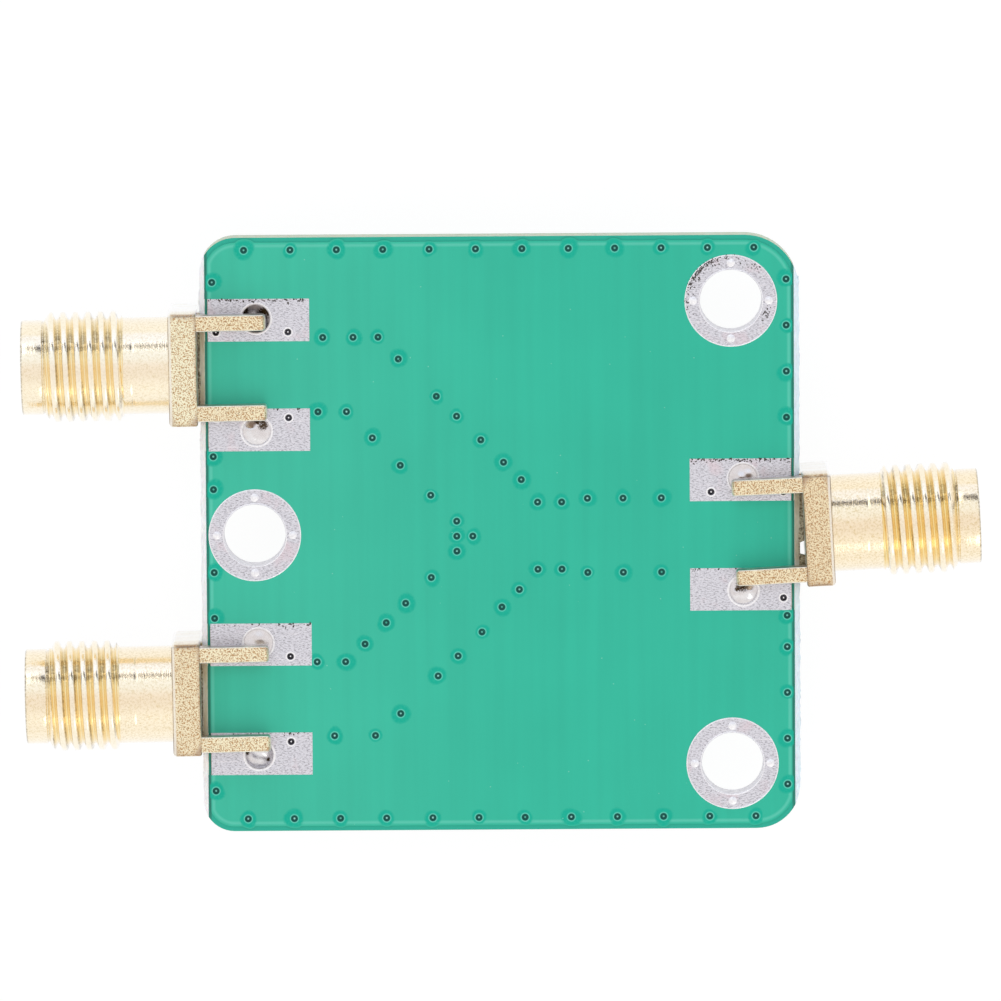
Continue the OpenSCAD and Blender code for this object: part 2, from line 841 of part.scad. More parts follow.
module pin_joint(p) {
    // Solder that climbs both sides and the end of a pin lying on its track
    run = pin_len - gap_of(p) - joint_start;
    difference() {
        translate([-pin_len, 0, pin_r]) {
            rotate([-90, 0, 90]) mirror([0, 0, 1]) linear_extrude(run)
                for (m = [0, 1]) mirror([m, 0]) spread_profile(0.9 * pin_r);
            mirror([0, 0, 1]) rotate_extrude() spread_profile(0);
        }
        turned([
            [-pin_len, 0], [-pin_len, pin_r - pin_bevel], [-pin_len + pin_bevel, pin_r],
            [pin_r, pin_r], [pin_r, 0],
        ]);
        translate([-pin_len + pin_bevel / 2, -pin_relief, 0])
            cube([pin_len, 2 * pin_relief, pin_r + cut]);
    }
}

module solder_zone() {
    translate([0, 0, front_tin_z - 1]) linear_extrude(1) children();
}

module jack_solder(p) {
    color(solder_grey) {
        intersection() {
            at_jack(p) for (s = [1, -1]) at_front_leg(s) leg_joint(p);
            solder_zone() intersection() {
                ground_outline(0);
                ground_pads();
            }
        }
        intersection() {
            at_jack(p) pin_joint(p);
            solder_zone() intersection() {
                signal_outline(0);
                centre_pads();
            }
        }
    }
}

// Chip resistors, drawn on their lands at z = 0 with the film side at +Z

module at_chip(a) {
    translate([star[0], star[1], front_tin_z]) rotate(a)
        translate([resistor_out, 0, 0]) mirror([0, 0, 1]) children();
}

module resistor_core(a) {
    color(alumina_white) at_chip(a) translate([-chip_len / 2 + cap_t, -chip_w / 2, cap_t])
        cube([chip_len - 2 * cap_t, chip_w, chip_t]);
}

module resistor_film(a) {
    w = chip_w - 0.06;
    color(film_black) at_chip(a) translate([-chip_gap / 2, -w / 2, cap_t + chip_t])
        cube([chip_gap, w, film_t]);
}

module resistor_caps(a) {
    color(tin_grey) at_chip(a) difference() {
        for (m = [0, 1]) mirror([m, 0, 0]) translate([chip_gap / 2, -chip_w / 2, 0])
            cube([cap_len, chip_w, chip_t + 2 * cap_t]);
        translate([-chip_len / 2 + cap_t, -chip_w / 2 - cut, cap_t])
            cube([chip_len - 2 * cap_t, chip_w + 2 * cut, chip_t]);
    }
}

module resistor_solder(a) {
    color(solder_grey) at_chip(a) for (m = [0, 1]) mirror([m, 0, 0])
        translate([chip_len / 2, chip_w / 2, 0]) rotate(-90) cove(chip_w, chip_fillet);
}

laminate();
back_copper();
ground_copper();
signal_traces();
back_mask();
front_mask();
back_tin();
front_tin();
via_plating();
mounting_hole_plating();
pad_hole_plating();
ring_via_solder();
pad_hole_solder();
jack_body(branch_a);  // branch_a_jack_body
jack_body(branch_b);  // branch_b_jack_body
jack_body(common);  // common_jack_body
jack_insulator(branch_a);  // branch_a_jack_insulator
jack_insulator(branch_b);  // branch_b_jack_insulator
jack_insulator(common);  // common_jack_insulator
jack_contact(branch_a);  // branch_a_jack_contact
jack_contact(branch_b);  // branch_b_jack_contact
jack_contact(common);  // common_jack_contact
jack_solder(branch_a);  // branch_a_jack_solder
jack_solder(branch_b);  // branch_b_jack_solder
jack_solder(common);  // common_jack_solder
resistor_core(arm_angle_a);  // branch_a_resistor_core
resistor_core(arm_angle_b);  // branch_b_resistor_core
resistor_core(arm_angle_common);  // common_resistor_core
resistor_film(arm_angle_a);  // branch_a_resistor_film
resistor_film(arm_angle_b);  // branch_b_resistor_film
resistor_film(arm_angle_common);  // common_resistor_film
resistor_caps(arm_angle_a);  // branch_a_resistor_caps
resistor_caps(arm_angle_b);  // branch_b_resistor_caps
resistor_caps(arm_angle_common);  // common_resistor_caps
resistor_solder(arm_angle_a);  // branch_a_resistor_solder
resistor_solder(arm_angle_b);  // branch_b_resistor_solder
resistor_solder(arm_angle_common);  // common_resistor_solder
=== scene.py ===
"""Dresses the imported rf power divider: threads, flanges, legs, vias, solder, finishes and the stage."""

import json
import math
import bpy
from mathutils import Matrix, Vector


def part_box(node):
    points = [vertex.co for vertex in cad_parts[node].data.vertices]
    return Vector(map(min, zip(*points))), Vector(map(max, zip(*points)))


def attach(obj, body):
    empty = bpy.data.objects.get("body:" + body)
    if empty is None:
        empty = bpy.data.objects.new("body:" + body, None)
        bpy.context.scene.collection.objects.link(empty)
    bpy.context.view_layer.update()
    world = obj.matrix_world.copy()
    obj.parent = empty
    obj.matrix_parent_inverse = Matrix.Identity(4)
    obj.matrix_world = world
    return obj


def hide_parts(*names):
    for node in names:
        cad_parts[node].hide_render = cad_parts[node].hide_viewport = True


bl_info = {
    "name": "Rf power divider",
    "version": (1, 0, 0),
    "blender": (4, 5, 0),
    "location": "3D View > Sidebar > Divider",
    "description": "Finishes and fine detail for a three-port resistive power divider",
    "category": "Object",
}

from functools import partial

import bmesh
import bpy
import numpy as np
from mathutils import Matrix, Vector

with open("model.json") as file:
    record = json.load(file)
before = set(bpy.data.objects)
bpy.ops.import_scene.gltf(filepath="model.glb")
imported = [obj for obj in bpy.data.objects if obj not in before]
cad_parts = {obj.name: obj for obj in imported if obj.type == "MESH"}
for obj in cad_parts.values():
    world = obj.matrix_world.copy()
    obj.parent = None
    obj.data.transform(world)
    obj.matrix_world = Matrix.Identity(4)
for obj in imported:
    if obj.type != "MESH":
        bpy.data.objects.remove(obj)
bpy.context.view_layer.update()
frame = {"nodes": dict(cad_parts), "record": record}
MOUNTS = {m["name"]: m for m in frame["record"]["mounts"]}
PORTS = ("branch_a", "branch_b", "common")
MM = 0.001


def linear(hex_colour):
    """sRGB hex to linear RGBA: c / 12.92 up to 0.04045, else ((c + 0.055) / 1.055) ^ 2.4."""
    c = np.array([int(hex_colour[i : i + 2], 16) / 255 for i in (1, 3, 5)])
    value = np.where(c <= 0.04045, c / 12.92, ((c + 0.055) / 1.055) ** 2.4)
    return (*value.tolist(), 1.0)


def hue(hex_colour, name, description):
    """A colour property whose default is that sRGB hex."""
    return bpy.props.FloatVectorProperty(
        name=name, description=description, subtype="COLOR", size=4, min=0, max=1,
        default=linear(hex_colour),
    )


def size(value, name, description):
    """A size in millimetres of the real object."""
    return bpy.props.FloatProperty(
        name=name, description=description + " in mm", default=value, min=0, max=60, precision=3,
    )


# Settings that a user would change


class DIVIDER_PG_jack(bpy.types.PropertyGroup):
    """Sizes of a jack, whose places along its axis are measured from the flange's back"""

    flange_side: size(6.35, "Flange side", "Side of the square flange")
    flange_depth: size(1.6, "Flange depth", "Thickness of the flange")
    front_bevel: size(0.2, "Front bevel", "Bevel of the flange's front edge")
    back_bevel: size(0.1, "Back bevel", "Bevel of the flange's back edge")
    corner: size(0.22, "Corner radius", "Radius of the flange's four corners")
    neck_r: size(2.73, "Neck radius", "Radius of the neck")
    thread_r: size(3.1, "Crest radius", "Outer radius of the thread")
    root_r: size(2.7, "Root radius", "Radius at the bottom of the thread")
    relief_r: size(2.6, "Relief radius", "Radius of the groove between thread and lip")
    pitch: size(0.7056, "Pitch", "Pitch of the thread")
    thread_end: size(8.62, "Thread end", "Where the thread ends in front")
    lip_r: size(2.67, "Lip radius", "Radius of the pilot lip")
    length: size(9.9, "Length", "Where the mouth is")
    mouth_r: size(2.3, "Mouth radius", "Radius of the counterbore")
    mouth_bevel: size(0.12, "Mouth bevel", "Bevel of the counterbore's edge")
    floor_at: size(8.0, "Floor station", "Where the counterbore ends")
    bore_r: size(2.05, "Bore radius", "Radius of the insulator's bore")
    leg_length: size(3.9, "Leg length", "Length of the legs behind the flange")
    leg_width: size(0.9, "Leg width", "Width of a leg")
    leg_depth: size(0.95, "Leg thickness", "Thickness of the legs on the track side")
    leg_pitch: size(5.08, "Leg pitch", "Distance between the middles of two legs")


class DIVIDER_PG_board(bpy.types.PropertyGroup):
    halo_r: size(0.41, "Halo radius", "Radius of the pooled mask round a via")
    via_r: size(0.15, "Via bore", "Radius of a small via's bore")
    pad_hole_r: size(0.8, "Pad hole", "Radius of the larger holes in the ground pads")
    mount_hole_r: size(1.75, "Mounting hole", "Radius of the mounting holes")
    ring_r: size(2.53, "Ring radius", "Inner radius of the bright outer rim of a mounting ring")
    rim_width: size(0.13, "Rim width", "Width of the bright rim round a pad hole")
    ring_rim_width: size(0.07, "Ring rim width", "Width of the bright rims of a mounting ring")
    half_length: size(16.8, "Half length", "Half the board's length")
    half_width: size(16.8, "Half width", "Half the board's width")
    web: size(0.64, "Snapped web", "Height of the snapped web of the scored edges")
    ragged: size(0.07, "Raggedness", "How far the snapped web's fibres stand out")


class DIVIDER_PG_finish(bpy.types.PropertyGroup):
    mask_left: hue("#3DBFA0", "Mask, left", "Solder mask at the branch side")
    mask_right: hue("#31BC9D", "Mask, right", "Solder mask at the common side")
    mask_bare: hue("#2AB197", "Mask over laminate", "Solder mask where no copper is under it")
    mask_deep: hue("#00B295", "Pooled mask", "Solder mask that pooled round a via")
    mask_rim: hue("#2D8674", "Mask edge", "Dark line at the mask's outer edge")
    gold_pale: hue("#FFFADB", "Gold, pale", "Lightest grains of the satin gold")
    gold_deep: hue("#C49B6A", "Gold, deep", "Darkest grains of the satin gold")
    gold_tarnish: hue("#946A5E", "Gold, tarnish", "Brown tarnish near edges")
    gold_turned: hue("#FFF0D3", "Gold, turned", "Polished gold of the turned barrels")
    tin: hue("#E5E5EC", "Tin", "Matte tin of the pads and rings")
    tin_dark: hue("#6E6971", "Tin, dark", "Specks and scratches in the tin")
    solder: hue("#F4F2F3", "Solder", "Bright solder")
    laminate: hue("#CDD5BA", "Laminate", "Milled sides of the laminate")
    laminate_left: hue("#FFFFFF", "Laminate, left", "Scored and snapped side at the branch jacks")
    laminate_right: hue("#E9F9FF", "Laminate, right", "Scored and snapped side at the common jack")


class DIVIDER_PG_stage(bpy.types.PropertyGroup):
    level: bpy.props.FloatProperty(
        name="Light level", description="Strength of the world", default=1.0, min=0, max=4
    )
    floor_shadow: bpy.props.FloatProperty(
        name="Floor shadow", description="How much of the floor's own shading the camera sees",
        default=0.08, min=0, max=1, subtype="FACTOR",
    )


# Mesh making


def around(count):
    """Angles of one full turn, as a column."""
    return np.linspace(0, 2 * math.pi, count, endpoint=False)[:, None]


def xyz(x, y, z):
    """Points from three coordinates that are stretched to one shape."""
    return np.stack(np.broadcast_arrays(x, y, z), -1)


def bell(distance, width):
    """A smooth hump of height 1: e to the power of -(distance / width) squared."""
    return np.exp(-((distance / width) ** 2))


def carried_round(x, y, level, turn, out, height, angle):
    """Profile (out, height) carried round the upright axis at (x, y): x + out * cos, y + out * sin.

    It stands on the level with turn 1 and hangs from it with turn -1.
    """
    return xyz(x + out * np.cos(angle), y + out * np.sin(angle), level + turn * height)


def sheet_faces(rows, columns, wrap_rows=False, wrap_columns=False):
    """Quads between neighbours of a grid of points; a wrapped side also joins its last line to its first.

    The corners of a quad are (i, j), (i + 1, j), (i + 1, j + 1) and (i, j + 1).
    """
    i = np.arange(rows if wrap_rows else rows - 1)[:, None]
    j = np.arange(columns if wrap_columns else columns - 1)[None, :]
    i2, j2 = (i + 1) % rows, (j + 1) % columns
    corners = (i * columns + j, i2 * columns + j, i2 * columns + j2, i * columns + j2)
    return np.stack(np.broadcast_arrays(*corners), -1).reshape(-1, 4)


def sheet(points, wrap_rows=False, wrap_columns=False, **marks):
    """One surface: points (rows, columns, 3) in mm, its quads, and values per point by the mark's name."""
    rows, columns = points.shape[:2]
    flat = {k: np.broadcast_to(v, (rows, columns)).ravel() for k, v in marks.items()}
    return points.reshape(-1, 3), sheet_faces(rows, columns, wrap_rows, wrap_columns), flat


def beam(points):
    """A bar through rings of points, whose first and last ring shrink to their middles."""
    points[[0, -1]] = points[[0, -1]].mean(1, keepdims=True)
    return sheet(points, wrap_columns=True)


def link_object(name, data):
    """Puts a new object into the scene."""
    item = bpy.data.objects.new(name, data)
    bpy.context.scene.collection.objects.link(item)
    return item


def add_piece(name, sheets, finish, replaced=(), crease=60, local=None):
    """Joins surfaces into one closed mesh.

    Points in mm become metres, points that fall together are merged, and faces turn outwards.
    """
    counts = np.cumsum([0] + [len(s[0]) for s in sheets])
    points = np.concatenate([s[0] for s in sheets])
    quads = np.concatenate([s[1] + n for s, n in zip(sheets, counts)])
    mesh = bpy.data.meshes.new(name)
    mesh.vertices.add(len(points))
    mesh.vertices.foreach_set("co", (points * MM).ravel())
    mesh.loops.add(quads.size)
    mesh.loops.foreach_set("vertex_index", quads.ravel().astype(np.int32))
    mesh.polygons.add(len(quads))
    mesh.polygons.foreach_set("loop_start", np.arange(0, quads.size, 4, dtype=np.int32))
    mesh.update(calc_edges=True)
    for key in sorted({k for s in sheets for k in s[2]}):
        values = np.concatenate([s[2].get(key, np.zeros(len(s[0]))) for s in sheets])
        mesh.attributes.new(key, "FLOAT", "POINT").data.foreach_set("value", values.astype(np.float32))
    if local is not None:
        mesh.attributes.new("local", "FLOAT_VECTOR", "POINT").data.foreach_set(
            "vector", local(points).astype(np.float32).ravel()
        )
    work = bmesh.new()
    work.from_mesh(mesh)
    bmesh.ops.remove_doubles(work, verts=work.verts, dist=2e-7)
    bmesh.ops.dissolve_degenerate(work, edges=work.edges, dist=1e-8)
    bmesh.ops.recalc_face_normals(work, faces=work.faces)
    work.to_mesh(mesh)
    work.free()
    mesh.shade_smooth()
    mesh.set_sharp_from_angle(angle=math.radians(crease))
    mesh.materials.append(bpy.data.materials[finish])
    piece = link_object(name, mesh)
    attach(piece, "root")
    if replaced:
        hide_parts(*replaced)
    return piece


def smooth_noise(seed, *coordinates, scale=1.0):
    """Even noise between about -1 and 1: the mean of nine sine waves in seeded directions and phases."""
    rng = np.random.default_rng(seed)
    total = 0
    for _ in range(9):
        k = rng.normal(0, 1, len(coordinates)) * scale
        total = total + np.sin(sum(a * c for a, c in zip(k, coordinates)) + rng.uniform(0, 2 * math.pi))
    return total / 4.5


def rounded_path(half_a, half_b, r, along, round_corner):
    """Points and outward normals along a rectangle with rounded corners.

    Four arcs of radius r about the corners' centres, joined by straight runs.
    """
    points, normals = [], []
    centre = np.array([half_a, half_b]) - r
    signs = np.array([(1, 1), (-1, 1), (-1, -1), (1, -1)])
    t = (np.arange(1, along) / along)[:, None]
    for k, (sign, following) in enumerate(zip(signs, np.roll(signs, -1, 0))):
        turn = np.radians(90 * k + np.linspace(0, 90, round_corner + 1))
        n = np.stack([np.cos(turn), np.sin(turn)], -1)
        arc = sign * centre + r * n
        end = following * centre + r * n[-1]
        points += [arc, arc[-1] + t * (end - arc[-1])]
        normals += [n, np.repeat(n[-1:], along - 1, 0)]
    return np.concatenate(points), np.concatenate(normals)


def node_points(name):
    """The corners of a CAD node's mesh, in mm."""
    mesh = frame["nodes"][name].data
    flat = np.empty(len(mesh.vertices) * 3, np.float32)
    mesh.vertices.foreach_get("co", flat)
    return flat.reshape(-1, 3).astype(float) / MM


def hole_centres(name, reach):
    """Middles of a CAD node's round barrels: the mean of the corners within reach of each other."""
    flat = np.unique(np.round(node_points(name)[:, :2], 4), axis=0)
    near = (np.abs(flat[:, None] - flat[None]).max(-1) < reach).astype(float)
    middle = near @ flat / near.sum(1)[:, None]
    return np.unique(np.round(middle, 2), axis=0)


def both_faces(upper, lower):
    """Level and direction of the top of one CAD node, and of the bottom of another, in mm."""
    return (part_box(upper)[1].z / MM, 1), (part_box(lower)[0].z / MM, -1)


def board_middle():
    """Level of the laminate's middle in mm."""
    low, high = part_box("laminate")
    return (low.z + high.z) / 2 / MM


class Jack:
    """A jack's frame from its packed mouth: the flange's back-face middle, outward, sideways and up."""

    def __init__(self, port, jack):
        mount = MOUNTS[port + "_mouth"]
        self.port = port
        self.out = np.array(mount["axis"])
        middle = 0.5 * (jack.floor_at + jack.length - jack.mouth_bevel)
        self.origin = np.array(mount["pos_m"]) / MM - middle * self.out
        up = np.array([0.0, 0.0, 1.0])
        side = np.cross(up, self.out)
        self.axes = np.array([self.out, side, up])
        # 1 or -1, so that a sideways value times it points to the board's back edge
        self.to_back = np.sign(side[1])

    def place(self, station, side, up):
        """World points in mm of (station along the axis, sideways, up)."""
        return xyz(station, side, up) @ self.axes + self.origin

    def local(self, points):
        """The same three coordinates of world points."""
        return (points - self.origin) @ self.axes.T


# Material making


def plug(node, inputs):
    """Sets a node's inputs, given by name, or in the order of its sockets in use.

    A node is linked by its first output in use, a socket is linked, and a value becomes the default.
    """
    in_use = [socket for socket in node.inputs if socket.enabled]
    for key, value in inputs.items() if isinstance(inputs, dict) else enumerate(inputs):
        socket = node.inputs[key] if isinstance(key, str) else in_use[key]
        if isinstance(value, bpy.types.Node):
            value = next(output for output in value.outputs if output.enabled)
        if isinstance(value, bpy.types.NodeSocket):
            node.id_data.links.new(value, socket)
        else:
            socket.default_value = value


def add_node(tree, kind, inputs=(), operation=None, stops=(), **settings):
    """Adds a shader node: inputs as plug takes them, a maths node's operation, a colour ramp's stops.

    Other settings are its attributes. Mix nodes mix colours.
    """
    node = tree.nodes.new("ShaderNode" + kind)
    if operation:
        node.operation = operation
    if kind == "Mix":
        node.data_type = "RGBA"
    for key, value in settings.items():
        setattr(node, key, value)
    plug(node, inputs)
    for _ in stops[2:]:
        node.color_ramp.elements.new(0.5)
    for i, (position, colour) in enumerate(stops):
        node.color_ramp.elements[i].position = position
        node.color_ramp.elements[i].color = colour
    return node


def start_tree(owner):
    """Empties the node tree of a material or world and gives the function that adds a node to it."""
    owner.use_nodes = True
    owner.node_tree.nodes.clear()
    return partial(add_node, owner.node_tree)


def start_material(name, *marks):
    """A material, its function that adds a node, its shader, coordinates in mm, and its marks.

    Marks are the values per point that a piece's mesh carries under those names.
    """
    material = bpy.data.materials.new(name)
    add = start_tree(material)
    shader = add("BsdfPrincipled")
    add("OutputMaterial", {"Surface": shader})
    place = add("TexCoord").outputs["Object"]
    mm = add("VectorMath", (place, 1 / MM), "SCALE")
    return material, add, shader, mm, *(add("Attribute", attribute_name=k).outputs["Fac"] for k in marks)


def finish_shader(
    add, shader, body, grain, rough, strength, depth, relief=None, span=(0.3, 0.7), **constants
):
    """Feeds the shader: its colour, roughness that follows the grain, and relief of a depth in mm.

    Roughness runs from the first to the second value of rough while the grain runs through the span.
    """
    shine = add("MapRange", (grain, *span, *rough))
    bump = add("Bump", {"Strength": strength, "Distance": depth * MM, "Height": relief or grain})
    plug(shader, {"Base Color": body, "Roughness": shine, "Normal": bump, **constants})


def painted_grazing_sheen(add, colour, power, amount):
    """Painted sheen: metal is mixed towards white where it is seen edge on: mix = amount * facing ^ power.
    """
    facing = add("LayerWeight", {"Blend": 0.5}).outputs["Facing"]
    share = add("Math", (facing, power), "POWER")
    share = add("Math", (share, amount), "MULTIPLY", use_clamp=True)
    return add("Mix", (share, colour, (1, 1, 1, 1)))


def copper_edge(add, mm):
    """Distance in mm to the edge of the copper under the mask, less than 0 over the copper.

    The larger of |x| - half length, and of a square's distance whose four corners have their own radii.
    """
    half_x, half_y = (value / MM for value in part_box("back_copper")[1].xy)
    sign = add("VectorMath", [mm], "SIGN")
    sign = add("SeparateXYZ", [sign])
    both = add("Math", (sign.outputs[0], sign.outputs[1]), "MULTIPLY")
    # Corner radii at the back right, front right, back left and front left
    a, b, c, d = 2.7, 2.1, 1.65, 1.4
    r = add("Math", (sign.outputs[0], (a + b - c - d) / 4, (a + b + c + d) / 4), "MULTIPLY_ADD")
    r = add("Math", (sign.outputs[1], (a - b + c - d) / 4, r), "MULTIPLY_ADD")
    r = add("Math", (both, (a - b - c + d) / 4, r), "MULTIPLY_ADD")
    far = add("VectorMath", [mm], "ABSOLUTE")
    far = add("SeparateXYZ", [far])
    over, squared = [], []
    for k in (0, 1):
        gap = add("Math", (far.outputs[k], half_y), "SUBTRACT")
        over.append(add("Math", (gap, r), "ADD"))
        clipped = add("Math", (over[k], 0.0), "MAXIMUM")
        squared.append(add("Math", (clipped, 2.0), "POWER"))
    round_part = add("Math", squared, "ADD")
    round_part = add("Math", [round_part], "SQRT")
    flat_part = add("Math", over, "MAXIMUM")
    flat_part = add("Math", (flat_part, 0.0), "MINIMUM")
    square = add("Math", (round_part, flat_part), "ADD")
    square = add("Math", (square, r), "SUBTRACT")
    end = add("Math", (far.outputs[0], half_x), "SUBTRACT")
    return add("Math", (square, end), "MAXIMUM")


def board_mask(finish):
    """Solder mask: thin green epoxy, screened and baked over copper.

    Gives a smooth semi-gloss green, deeper where it pooled, with faint weave from the glass below, and
    painted shade and highlights at the vias and over the copper's edge.
    """
    marks = ("pool", "wall", "lip", "speck")
    material, add, shader, mm, pool, wall, lip, speck = start_material("solder_mask", *marks)
    part = add("SeparateXYZ", [mm])
    across = add("MapRange", (part.outputs[0], -15.0, 5.0), interpolation_type="SMOOTHSTEP")
    body = add("Mix", (across, finish.mask_left, finish.mask_right))
    # Faint streaks about 0.6 mm wide that run across the scored edges, as squeegee marks do
    streak_at = add("Mapping", {"Vector": mm, "Scale": (1.6, 0.05, 0.2)})
    streak = add("TexNoise", {"Vector": streak_at, "Scale": 1.0, "Detail": 3.0})
    cloud = add("TexNoise", {"Vector": mm, "Scale": 0.16, "Detail": 2.0})
    tone = add("Math", (streak, cloud), "ADD")
    tone = add("MapRange", (tone, 0.7, 1.3, 0.96, 1.04))
    body = add("VectorMath", (body, tone), "SCALE")
    # Beside the copper the mask lies 0.05 mm lower and shows the darker laminate
    height = add("Math", (part.outputs[2], board_middle()), "SUBTRACT")
    height = add("Math", [height], "ABSOLUTE")
    bare = add("MapRange", (height, 0.79, 0.815, 1.0, 0.0))
    # Painted highlight: a pale line 0.15 mm wide over the copper's edge, where the thinned mask would catch
    # the light
    inside = add("Math", (copper_edge(add, mm), 0.11), "ADD")
    inside = add("Math", [inside], "ABSOLUTE")
    copper_edge_highlight = add("MapRange", (inside, 0.02, 0.13, 0.75, 0.0))
    # Dark line where the mask ends at the scored faces
    side = add("Math", [part.outputs[0]], "ABSOLUTE")
    rim = add("MapRange", (side, 16.33, 16.4))
    # Deeper green where it pooled round a via, with a frayed edge
    frayed = add("TexNoise", {"Vector": mm, "Scale": 7.0, "Detail": 3.0})
    frayed = add("MapRange", (frayed, 0.3, 0.7, 0.75, 1.35))
    pooled = add("Math", (pool, frayed), "MULTIPLY", use_clamp=True)
    # Dust specks of 0.05 to 0.1 mm
    dust = add("TexVoronoi", {"Vector": mm, "Scale": 0.9, "Randomness": 1.0})
    dust = add("MapRange", (dust, 0.022, 0.036, 0.35, 0.0))
    # Mixed in turn: the laminate beside the copper, the painted highlight over the copper's edge, the dark
    # mask edge, pooled mask, then at each via its wall's painted shade of the bore, its lip's painted
    # highlight and its painted glint, and dust
    for share, tint in (
        (bare, finish.mask_bare), (copper_edge_highlight, linear("#60CDB3")), (rim, finish.mask_rim),
        (pooled, finish.mask_deep), (wall, linear("#00554B")), (lip, linear("#74DCC5")),
        (speck, linear("#B5EFE8")), (dust, linear("#BFEBDC")),
    ):
        body = add("Mix", (share, body, tint))
    # Orange peel at 0.5 mm and the weave of the glass at 0.45 mm
    peel = add("TexNoise", {"Vector": mm, "Scale": 2.2, "Detail": 2.0})
    cloth = {"Vector": mm, "Scale": 0.7, "Distortion": 0.6, "Detail": 1.0}
    threads = [add("TexWave", cloth, bands_direction=way).outputs["Fac"] for way in "XY"]
    weave = add("Math", threads, "MAXIMUM")
    relief = add("Math", (weave, 0.5, peel), "MULTIPLY_ADD")
    constants = {"IOR": 1.46, "Specular IOR Level": 0.28}
    finish_shader(add, shader, body, peel, (0.32, 0.44), 0.35, 0.012, relief, **constants)
    return material


def satin_gold(finish):
    """Gold plate over milled brass, tumbled before plating.

    Gives a grainy satin with pale grains, deep gold between them and brown tarnish along the edges, with
    painted highlights on rounded edges, a painted dark edge line and a painted grazing sheen.
    """
    marks = ("edge", "rim", "shade", "line")
    material, add, shader, _, edge, rim, shade, line = start_material("satin_gold_plate", *marks)
    local = add("Attribute", attribute_name="local").outputs["Vector"]
    # Grains of about 0.1 mm, drawn at the size of one or two dots of the picture
    grain = add("TexNoise", {"Vector": local, "Scale": 13.0, "Detail": 2.0, "Roughness": 0.6})
    tone = add("MapRange", (grain, 0.39, 0.53))
    body = add("Mix", (tone, finish.gold_deep, finish.gold_pale))
    # Brown tarnish in patches along the edges
    patch = add("TexNoise", {"Vector": local, "Scale": 1.1, "Detail": 4.0})
    worn = add("Math", (edge, patch), "MULTIPLY")
    worn = add("Math", (worn, grain), "MULTIPLY")
    worn = add("MapRange", (worn, 0.12, 0.28, 0.0, 0.55))
    body = add("Mix", (worn, body, finish.gold_tarnish))
    # Sparse dark pits of about 0.1 mm
    pit = add("TexNoise", {"Vector": local, "Scale": 8.5, "Detail": 1.0})
    pit = add("MapRange", (pit, 0.64, 0.7, 0.0, 0.6))
    body = add("Mix", (pit, body, linear("#86674C")))
    # Each piece gets its own tone, and the darker ones are redder
    shade = add("VectorMath", (shade, (-0.5, -1.1, -1.6), (1, 1, 1)), "MULTIPLY_ADD")
    body = add("VectorMath", (body, shade), "MULTIPLY")
    # Painted highlight on the rounded edges, then a painted dark line along the sharp edges, broken by the
    # grain
    body = add("Mix", (rim, body, linear("#FFFCF2")))
    broken = add("MapRange", (patch, 0.38, 0.6, 0.35, 1.1))
    line = add("Math", (line, broken), "MULTIPLY", use_clamp=True)
    body = add("Mix", (line, body, linear("#5E4638")))
    # Painted sheen towards white where the gold is seen edge on, strongest low on the piece
    height = add("SeparateXYZ", [local]).outputs[2]
    sheen_by_height = add("MapRange", (height, 0.9, 2.9, 1.5, 0.55))
    body = painted_grazing_sheen(add, body, 4.0, sheen_by_height)
    finish_shader(add, shader, body, grain, (0.5, 0.34), 0.6, 0.02, Metallic=1.0)
    return material


def turned_gold(finish, name, from_object=False):
    """Gold plate over brass turned in a lathe.

    Gives a bright mirror broken by fine turning marks round the axis, with painted shade of deeper
    gold in the thread's valleys, painted highlights on the crests, a painted grazing sheen, and
    dark grime and painted shade.
    """
    marks = ("valley", "crest", "pale", "grime")
    material, add, shader, mm, valley, crest, pale, grime = start_material(name, *marks)
    local = mm if from_object else add("Attribute", attribute_name="local").outputs["Vector"]
    # Turning marks about 0.07 mm apart, with short breaks along them
    at = add("Mapping", {"Vector": local, "Scale": (14.0, 1.5, 1.5)})
    turning = add("TexNoise", {"Vector": at, "Scale": 1.0, "Detail": 3.0})
    speck = add("TexNoise", {"Vector": local, "Scale": 8.0, "Detail": 3.0, "Roughness": 0.7})
    tone = add("MapRange", (speck, 0.3, 0.55))
    body = add("Mix", (tone, linear("#E9D3A6"), finish.gold_turned))
    # Painted shade of deeper gold in the valleys, painted highlight on the crests, and paler colour on the
    # branch jacks
    low = add("MapRange", (valley, 0.45, 0.9, 0.0, 0.9))
    for share, tint in ((low, "#F9DF9E"), (crest, "#FFF8E4"), (pale, "#FFFBEC")):
        body = add("Mix", (share, body, linear(tint)))
    # Painted sheen towards white where the gold is seen edge on
    body = painted_grazing_sheen(add, body, 3.0, 0.9)
    # Grime and painted shade, broken by the specks
    spots = add("MapRange", (speck, 0.28, 0.62, 1.5, 0.3))
    spots = add("Math", (spots, grime), "MULTIPLY", use_clamp=True)
    body = add("Mix", (spots, body, linear("#5A4B30")))
    relief = add("Math", (turning, speck), "ADD")
    finish_shader(add, shader, body, speck, (0.2, 0.09), 0.45, 0.014, relief, Metallic=1.0)
    return material


